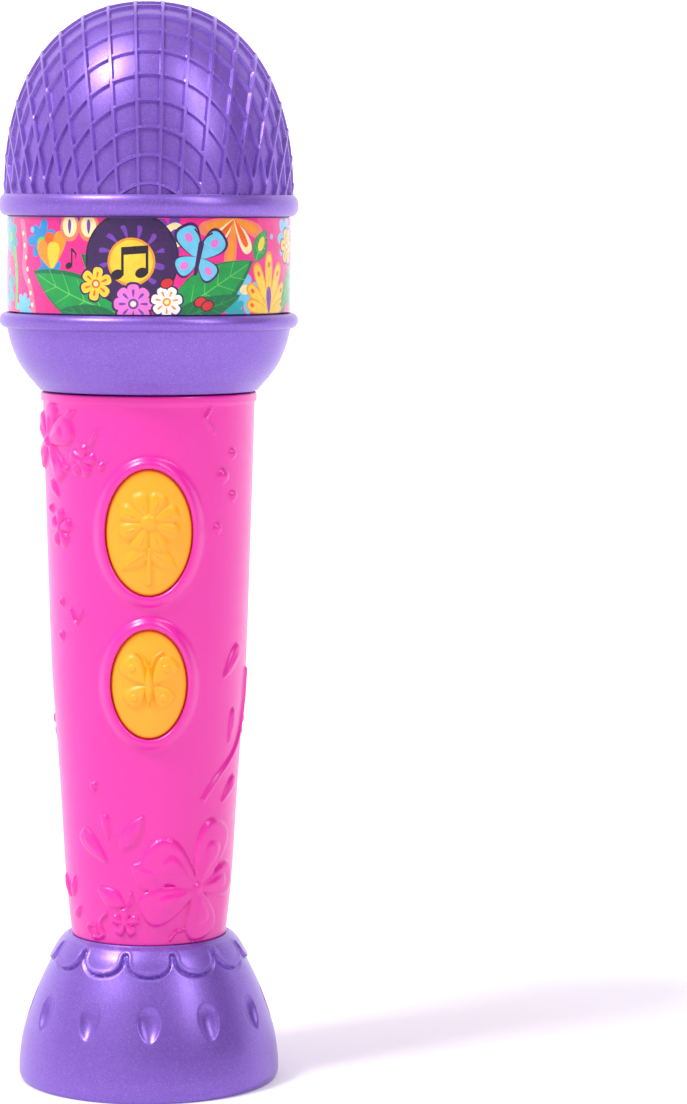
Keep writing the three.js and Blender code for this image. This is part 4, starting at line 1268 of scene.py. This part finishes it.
def base_relief(angle, z):
    """The scalloped shoulder and the teardrop dimples of the base, as heights off its plain curve."""
    around = np.radians((angle + 180 / LOBES) % (360 / LOBES) - 180 / LOBES)
    lobe_radius, dimple_radius = 20.2, 25.2
    shoulder = np.vstack([scallops(TAU * lobe_radius / LOBES), [(30, 50), (-30, 50)]])
    near = z > LOBE_LOW - 2
    depth = depth_in(np.stack([around * lobe_radius, z], -1)[near], shoulder)
    crest, groove = (np.exp(-(((depth - at) / wide) ** 2)) for at, wide in ((0.55, 0.34), (-0.28, 0.3)))
    raised = np.zeros(z.shape)
    raised[near] = 0.46 * step(depth, -0.12, 0.36) + 0.16 * crest - 0.44 * groove
    return raised - DIMPLE["depth"] * dimple(around * dimple_radius, (z - DIMPLE["low"]) / DIMPLE["length"])


def base():
    """The flared foot: a relief surface outside, a plain ring below, and a hollow inside."""
    outer = resampled(smooth_curve(BASE_CURVE), 0.3)[::-1]
    bottom = filleted([(25.6, 3.6), (25.6, 0), (27.2, 0, 0.5), (27.74, 1.2)])[:-1]
    top = filleted([(17.0, 31.0), (16.9, 31.2, 0.2), (14, 31.2, 0.3), (14, 28.8), (16.3, 28.8),
                    (20.2, 22.4), (23.3, 14.6), (25.2, 7.2), (25.6, 3.6)])
    segments = 600
    vertices, faces = turned(np.vstack([bottom, outer, top[1:-1]]), segments, closed=True)
    outside = slice(len(bottom) * segments, (len(bottom) + len(outer)) * segments)
    x, y, z = vertices[outside].T
    raised = base_relief(np.degrees(np.arctan2(x, -y)), z) * (1 - step(z, 30.3, 31.1))
    vertices[outside, :2] *= (1 + raised / np.hypot(x, y))[:, None]
    return vertices, faces


# ---- Screws, door, switch, cells and speaker ----
def grown(loop, by):
    """A closed outline moved away from its middle by a distance."""
    middle = loop.mean(0)
    reach = np.linalg.norm(loop - middle, axis=1)[:, None]
    return middle + (loop - middle) * (1 + by / reach)


def plate(outline, holes, levels):
    """A flat part with through holes. Levels are (z, inset) from its underside to its top."""
    shapes = []
    for z, inset in (levels[0], levels[-1]):
        flat, faces = meshed(grown(outline, -inset), [grown(hole, inset) for hole in holes])
        shapes.append((lifted(flat, z), faces))
    for loop, way in [(outline, -1)] + [(hole, 1) for hole in holes]:
        shapes.append(skinned([lifted(grown(loop, way * inset), z) for z, inset in levels]))
    return together(*shapes)


def cross_outline(reach, half_width):
    """The outline of a cross recess."""
    corner = [(half_width, half_width), (half_width, reach), (-half_width, reach)]
    return np.vstack([placed(corner, turn=turn) for turn in (0, 90, 180, 270)])


def screw(height, length, matrix):
    """A pan-head screw with a cross recess, whose seat and upward axis the matrix puts in place."""
    outline = filleted([
        (0, -length), (0.4, -length), (SCREW_SHANK, -length + 1.6), (SCREW_SHANK, 0), (SCREW_HEAD, 0, 0.1),
        (SCREW_HEAD, height, height * 0.8), (SCREW_HEAD * 0.62, height),
    ])
    mouth, floor = cross_outline(1.32, 0.36), cross_outline(0.7, 0.26)
    flat, faces = meshed(circle((0, 0), outline[-1][0]), [mouth])
    walls, sides = skinned([lifted(mouth, height), lifted(floor, height - 0.85)])
    recess = walls, sides + [tuple(range(len(mouth), 2 * len(mouth)))]
    return moved(together(turned(outline, 48), (lifted(flat, height), faces), recess), matrix)


def axis_of(node):
    """The middle of an upright node in x and y, with its lowest and highest z."""
    low, high = node_box(node)
    return *((low + high) / 2)[:2], low[2], high[2]


def add_screws():
    for k, (x, z) in enumerate(HANDLE_SCREWS):
        shape = screw(1.5, 11, facing((0, 1, 0), (x, SCREW_SEAT, z), 23 * k))
        make(f"handle_screw_{k + 1}_finished", shape, "zinc_steel", f"handle_screw_{k + 1}")
    for k, (node, z) in enumerate(DOOR_SCREWS.items()):
        seat = float(handle_radius(z)) - DOOR_SCREW_DEPTH
        shape = screw(1.1, 6.5, facing((0, 1, 0), (0, seat, z), 31 + 40 * k))
        body = node.removeprefix("door_screw_") + "_door_screw"
        make(node + "_finished", shape, "zinc_steel", node, body)
    for k in (1, 2, 3):
        x, y, low, _ = axis_of(f"base_screw_{k}")
        shape = screw(1.5, 9, facing((0, 0, -1), (x, y, low + 1.5), 17 * k))
        make(f"base_screw_{k}_finished", shape, "zinc_steel", f"base_screw_{k}")


def door():
    """The battery door: a curved panel with two screw recesses and a row of grip ridges."""
    half, centre = np.array([DOOR_HALF_WIDTH, DOOR_HALF_HEIGHT]), np.array([0, DOOR_MIDDLE])
    unit = unit_outline(240, DOOR_POWER)
    outline = resampled(np.vstack([unit, unit[:1]]) * half, 0.8)[:-1] + centre
    holes = [circle((0, z), WELL_RADIUS, 40) for z in DOOR_SCREWS.values()]
    flat, faces = meshed(outline, holes, 1.0)

    def laid(points, inset, proud):
        """Flat points on the handle's back, moved in from the door's edge."""
        return on_handle(centre + (points - centre) * (1 - inset / half), proud, way=1)

    edge = ((0.3, 0), (0.1, -0.06), (0, -0.25), (0, -DOOR_THICK))
    shapes = [(laid(flat, *edge[0]), faces), (laid(flat, *edge[-1]), faces)]
    shapes.append(skinned([laid(outline, *level) for level in edge]))
    for hole, z in zip(holes, DOOR_SCREWS.values()):
        seat = float(handle_radius(z)) - DOOR_RECESS
        rings = [laid(hole, 0.3, 0), laid(hole, 0, -0.3)]
        rings += [upright(circle((0, z), radius, 40), seat) for radius in (WELL_RADIUS, HOLE_RADIUS)]
        shapes.append(skinned(rings))
    for k in range(6):
        x = np.linspace(-5.5, 5.5, 16)
        line = np.column_stack([x, np.full(16, DOOR_MIDDLE + 16 + 2.1 * (k - 2.5))])
        shapes.append(tube(laid(line, 0, 0.12), 0.55, 16))
    return together(*shapes)


def knob():
    """The power switch's knob: a block with three ridges across its outer face."""
    (left, back, bottom), (right, front, top) = node_box("switch_knob")
    outline = [(back, bottom), (front - 0.5, bottom)]
    pitch = (top - bottom - 0.9) / 3
    for k in range(3):
        for depth, share in ((0.45, 0.1), (0, 0.35), (0, 0.65), (0.45, 0.9)):
            outline.append((front - depth, bottom + 0.45 + (k + share) * pitch))
    outline = np.array(outline + [(front - 0.5, top), (back, top)])
    middle, size = outline.mean(0), np.ptp(outline, axis=0) / 2
    rings = []
    for x, inset in ((left, 0.15), (left + 0.15, 0), (right - 0.15, 0), (right, 0.15)):
        rings.append(np.insert(middle + (outline - middle) * (1 - inset / size), 0, x, axis=1))
    return capped(rings)


def add_batteries():
    """Two cells, the second upside down: each a sleeve and its two metal ends."""
    for name in ("battery_1", "battery_2"):
        x, y, low, high = axis_of(name)
        radius, height, nub = node_box(name)[1][0] - x, high - low, 0.9
        rim = height - nub
        sleeve = filleted([(4.2, 0.25), (4.4, 0, 0.15), (radius, 0, 0.5), (radius, rim, 0.7),
                           (3.9, rim, 0.2), (3.7, rim - 0.25)])
        button = filleted([(3.8, rim - 0.2), (2.0, rim - 0.2), (1.9, height, 0.3), (0, height)])
        ends = together(turned([(0, 0.2), (4.2, 0.2), (4.3, 0.3)], 72), turned(button, 72))
        place = Matrix.Translation((x, y, low))
        if name == "battery_2":
            place = place @ Matrix.Translation((0, 0, height)) @ Matrix.Rotation(pi, 4, "X")
        make(name + "_sleeve", moved(turned(sleeve, 72), place), "cell_sleeve", name)
        make(name + "_ends", moved(ends, place), "nickel", name)


def add_springs():
    """Two conical coil springs, each widest where it sits on its contact plate."""
    for name, widest_low in (("battery_spring_1", True), ("battery_spring_2", False)):
        x, y, low, high = axis_of(name)
        along = np.linspace(0, 1, 120)
        radius = 3.4 - 0.9 * (along if widest_low else 1 - along)
        turn = 3 * TAU * along
        wire = 0.35
        height = low + wire + (high - low - 2 * wire) * along
        path = np.column_stack([x + radius * np.cos(turn), y + radius * np.sin(turn), height])
        make(name + "_coil", tube(path, wire, 10), "nickel", name)


def foot_plate():
    """The slotted plate under the speaker, with its ring and three counterbored screw holes."""
    middles = [axis_of(f"base_screw_{k}")[:2] for k in (1, 2, 3)]
    holes = [circle(middle, 2.7) for middle in middles]
    for x in range(-10, 11, 5):
        reach = sqrt(SLOT_CIRCLE**2 - x**2) - SLOT_HALF_WIDTH
        ends = [arc((x, side * reach), (SLOT_HALF_WIDTH, SLOT_HALF_WIDTH), first, first + 180)
                for side, first in ((1, 0), (-1, 180))]
        holes.append(np.vstack(ends))
    outline = circle((0, 0), node_box("base_plate")[1][0], 180)
    seat = turned([(2.75, 2.5), (1.6, 2.5), (1.6, 2.9), (2.75, 2.9)], 40, closed=True)
    ring = turned([(18.3, 2.5), (19.3, 2.5), (19.3, 5.4), (18.3, 5.4)], 120, closed=True)
    seats = [moved(seat, Matrix.Translation((*middle, 0))) for middle in middles]
    return together(plate(outline, holes, [(0.8, 0.2), (1.0, 0), (2.6, 0)]), ring, *seats)


def speaker_basket():
    return turned(filleted([
        (16.6, 3.1), (18, 3.1, 0.2), (18, 4.3, 0.2), (16.9, 4.3), (14.6, 8.2, 0.4), (4.5, 8.2), (4.5, 7.5),
        (14.1, 7.5), (16.2, 4),
    ]), 120, closed=True)


def speaker_cone():
    return turned(filleted([
        (0, 4.4), (3.4, 5.2, 1), (5.4, 6.2, 0.4), (13, 3.9, 0.6), (14.6, 4.3, 0.6), (15.8, 3.3), (15.8, 3.7),
        (14.6, 4.8), (13, 4.4), (5.6, 6.8), (0, 6.8),
    ]), 120)


# ---- The pieces ----
add_dome()
make("label_drum", collar(), "pearl_purple", "head_collar")
make("head_bowl_shell", bowl(), "pearl_purple", "head_bowl")
add_label()
make("handle_front_shell", front_shell(), "gloss_pink", "handle_front", sharp=50, outward=True)
make("handle_back_shell", back_shell(), "gloss_pink", "handle_back", sharp=50, outward=True)
for button, motif in ((UPPER_BUTTON, blossom_motif), (LOWER_BUTTON, butterfly_motif)):
    shape = button_cap(button["half"], button["z"], motif())
    make(button["name"] + "_cap", shape, "satin_orange", button["name"], button["name"], sharp=55)
make("foot_shell", base(), "pearl_purple", "base_shell", sharp=50)
make("battery_door_panel", door(), "gloss_pink", "battery_door", "battery_door", sharp=35)
make("switch_knob_ridged", knob(), "black_plastic", "switch_knob", "switch_knob", sharp=30)
add_screws()
add_batteries()
add_springs()
make("foot_plate", foot_plate(), "pearl_purple", "base_plate", sharp=30)
make("speaker_frame", speaker_basket(), "black_plastic", "speaker_basket")
make("speaker_paper", speaker_cone(), "cone_paper", "speaker_cone")

# The parts that stay as the frame has them take only a finish.
FINISHES = {
    "silicone": ["upper_button_pad", "lower_button_pad"],
    "board_green": ["circuit_board"],
    "black_plastic": ["sound_chip"],
    "zinc_steel": ["switch_body", "board_screw_1", "board_screw_2", "board_screw_3", "board_screw_4"],
    "nickel": ["bridge_contact", "positive_contact", "negative_contact"],
    "magnet_black": ["speaker_magnet"],
    "red_lead": ["battery_lead_positive", "switch_lead"],
    "black_lead": ["battery_lead_negative", "speaker_lead_2"],
    "yellow_lead": ["speaker_lead_1"],
}
for finish, nodes in FINISHES.items():
    for node in nodes:
        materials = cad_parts[node].data.materials
        materials.clear()
        materials.append(MATERIALS[finish])


# ---- Stage, lights and camera: metres ----
def area_light(name, place, size, power):
    """A rectangular softbox that faces the middle of the toy."""
    light = bpy.data.lights.new(name, "AREA")
    light.shape = "RECTANGLE"
    light.size, light.size_y = size
    light.energy = power
    lamp = add_object(name, light)
    lamp.location = place
    lamp.rotation_euler = (LIT_POINT - Vector(place)).to_track_quat("-Z", "Y").to_euler()


def sun():
    light = bpy.data.lights.new("sun", "SUN")
    light.energy = SUN_STRENGTH
    light.angle = radians(SUN_SPREAD)
    add_object("sun", light).rotation_euler = SUN_FROM.to_track_quat("Z", "Y").to_euler()


def studio_world():
    """White surroundings, dimmer towards the right in front so that the toy's right side falls off."""
    world = bpy.data.worlds.new("studio")
    bpy.context.scene.world = world
    world.use_nodes = True
    tree = world.node_tree
    place = add_node(tree, "ShaderNodeTexCoord").outputs["Generated"]
    right = Vector((0.93, -0.37, 0)).normalized()
    side = add_node(tree, "ShaderNodeVectorMath", {0: place, 1: right}, operation="DOT_PRODUCT")
    background = tree.nodes["Background"].inputs
    feed(background["Color"], (1, 1, 1, 1))
    feed(background["Strength"], map_range(tree, side.outputs["Value"], -0.15, 0.8, *WORLD_GLOW))


def add_stage(name, shape, shader):
    """A glowing surface of the stage. Its glow is seen but isn't sampled as a light."""
    mesh = new_mesh(name, shape, scale=1)
    mesh.shade_smooth()
    shader.material.cycles.emission_sampling = "NONE"
    mesh.materials.append(shader.material)
    made = add_object(name, mesh)
    return made


def pale_floor():
    """A wide floor that curves up into a wall far behind, and glows more away from the toy."""
    profile = [(-30, 0), (3, 0), *arc((3, 1.5), (1.5, 1.5), -90, 0, 16)[1:], (4.5, 6)]
    vertices = [(x, y, z) for y, z in profile for x in (-30, 30)]
    faces = [(2 * k, 2 * k + 1, 2 * k + 3, 2 * k + 2) for k in range(len(profile) - 1)]
    shader = Shader("pale_floor", roughness=0.7)
    shader.set("Specular IOR Level", 0.2)
    tint = shader.blend(shader.noise(60, 3), (0.77, 0.74, 0.79, 1), (0.79, 0.76, 0.81, 1))
    shader.set("Base Color", tint)
    shader.set("Emission Color", (0.95, 0.9, 1, 1))
    reach = shader.node("ShaderNodeVectorMath", {0: shader.place}, operation="LENGTH").outputs["Value"]
    shader.set("Emission Strength", shader.spread(reach, *FLOOR_REACH, *FLOOR_GLOW))
    add_stage("floor", (vertices, faces), shader)


def backdrop():
    """A white ring round the studio, which only the camera sees, so that every side view ends in white."""
    shader = Shader("white_backdrop", roughness=0.9)
    shader.set("Emission Color", (1, 1, 1, 1))
    shader.set("Emission Strength", BACKDROP_GLOW)
    ring = add_stage("backdrop", turned([(BACKDROP_RADIUS, -1), (BACKDROP_RADIUS, 5)], 48), shader)
    ring.visible_diffuse = False
    ring.visible_glossy = False
    ring.visible_transmission = False
    ring.visible_shadow = False


def camera():
    data = bpy.data.cameras.new("camera")
    data.sensor_width = 36
    data.lens = LENS
    data.dof.use_dof = False
    eye = add_object("camera", data)
    turn = Matrix.Rotation(radians(90 - LOOK_DOWN), 4, "X") @ Matrix.Rotation(-radians(LOOK_RIGHT), 4, "Y")
    eye.matrix_world = Matrix.Translation(CAMERA_AT) @ turn
    bpy.context.scene.camera = eye


studio_world()
pale_floor()
backdrop()
sun()
area_light("left_softbox", (-0.34, -0.17, 0.9), (0.36, 0.36), 1.5)
area_light("right_softbox", (0.46, -0.42, 0.64), (0.15, 0.62), 2.6)
camera()
bpy.context.scene.view_settings.view_transform = "Standard"
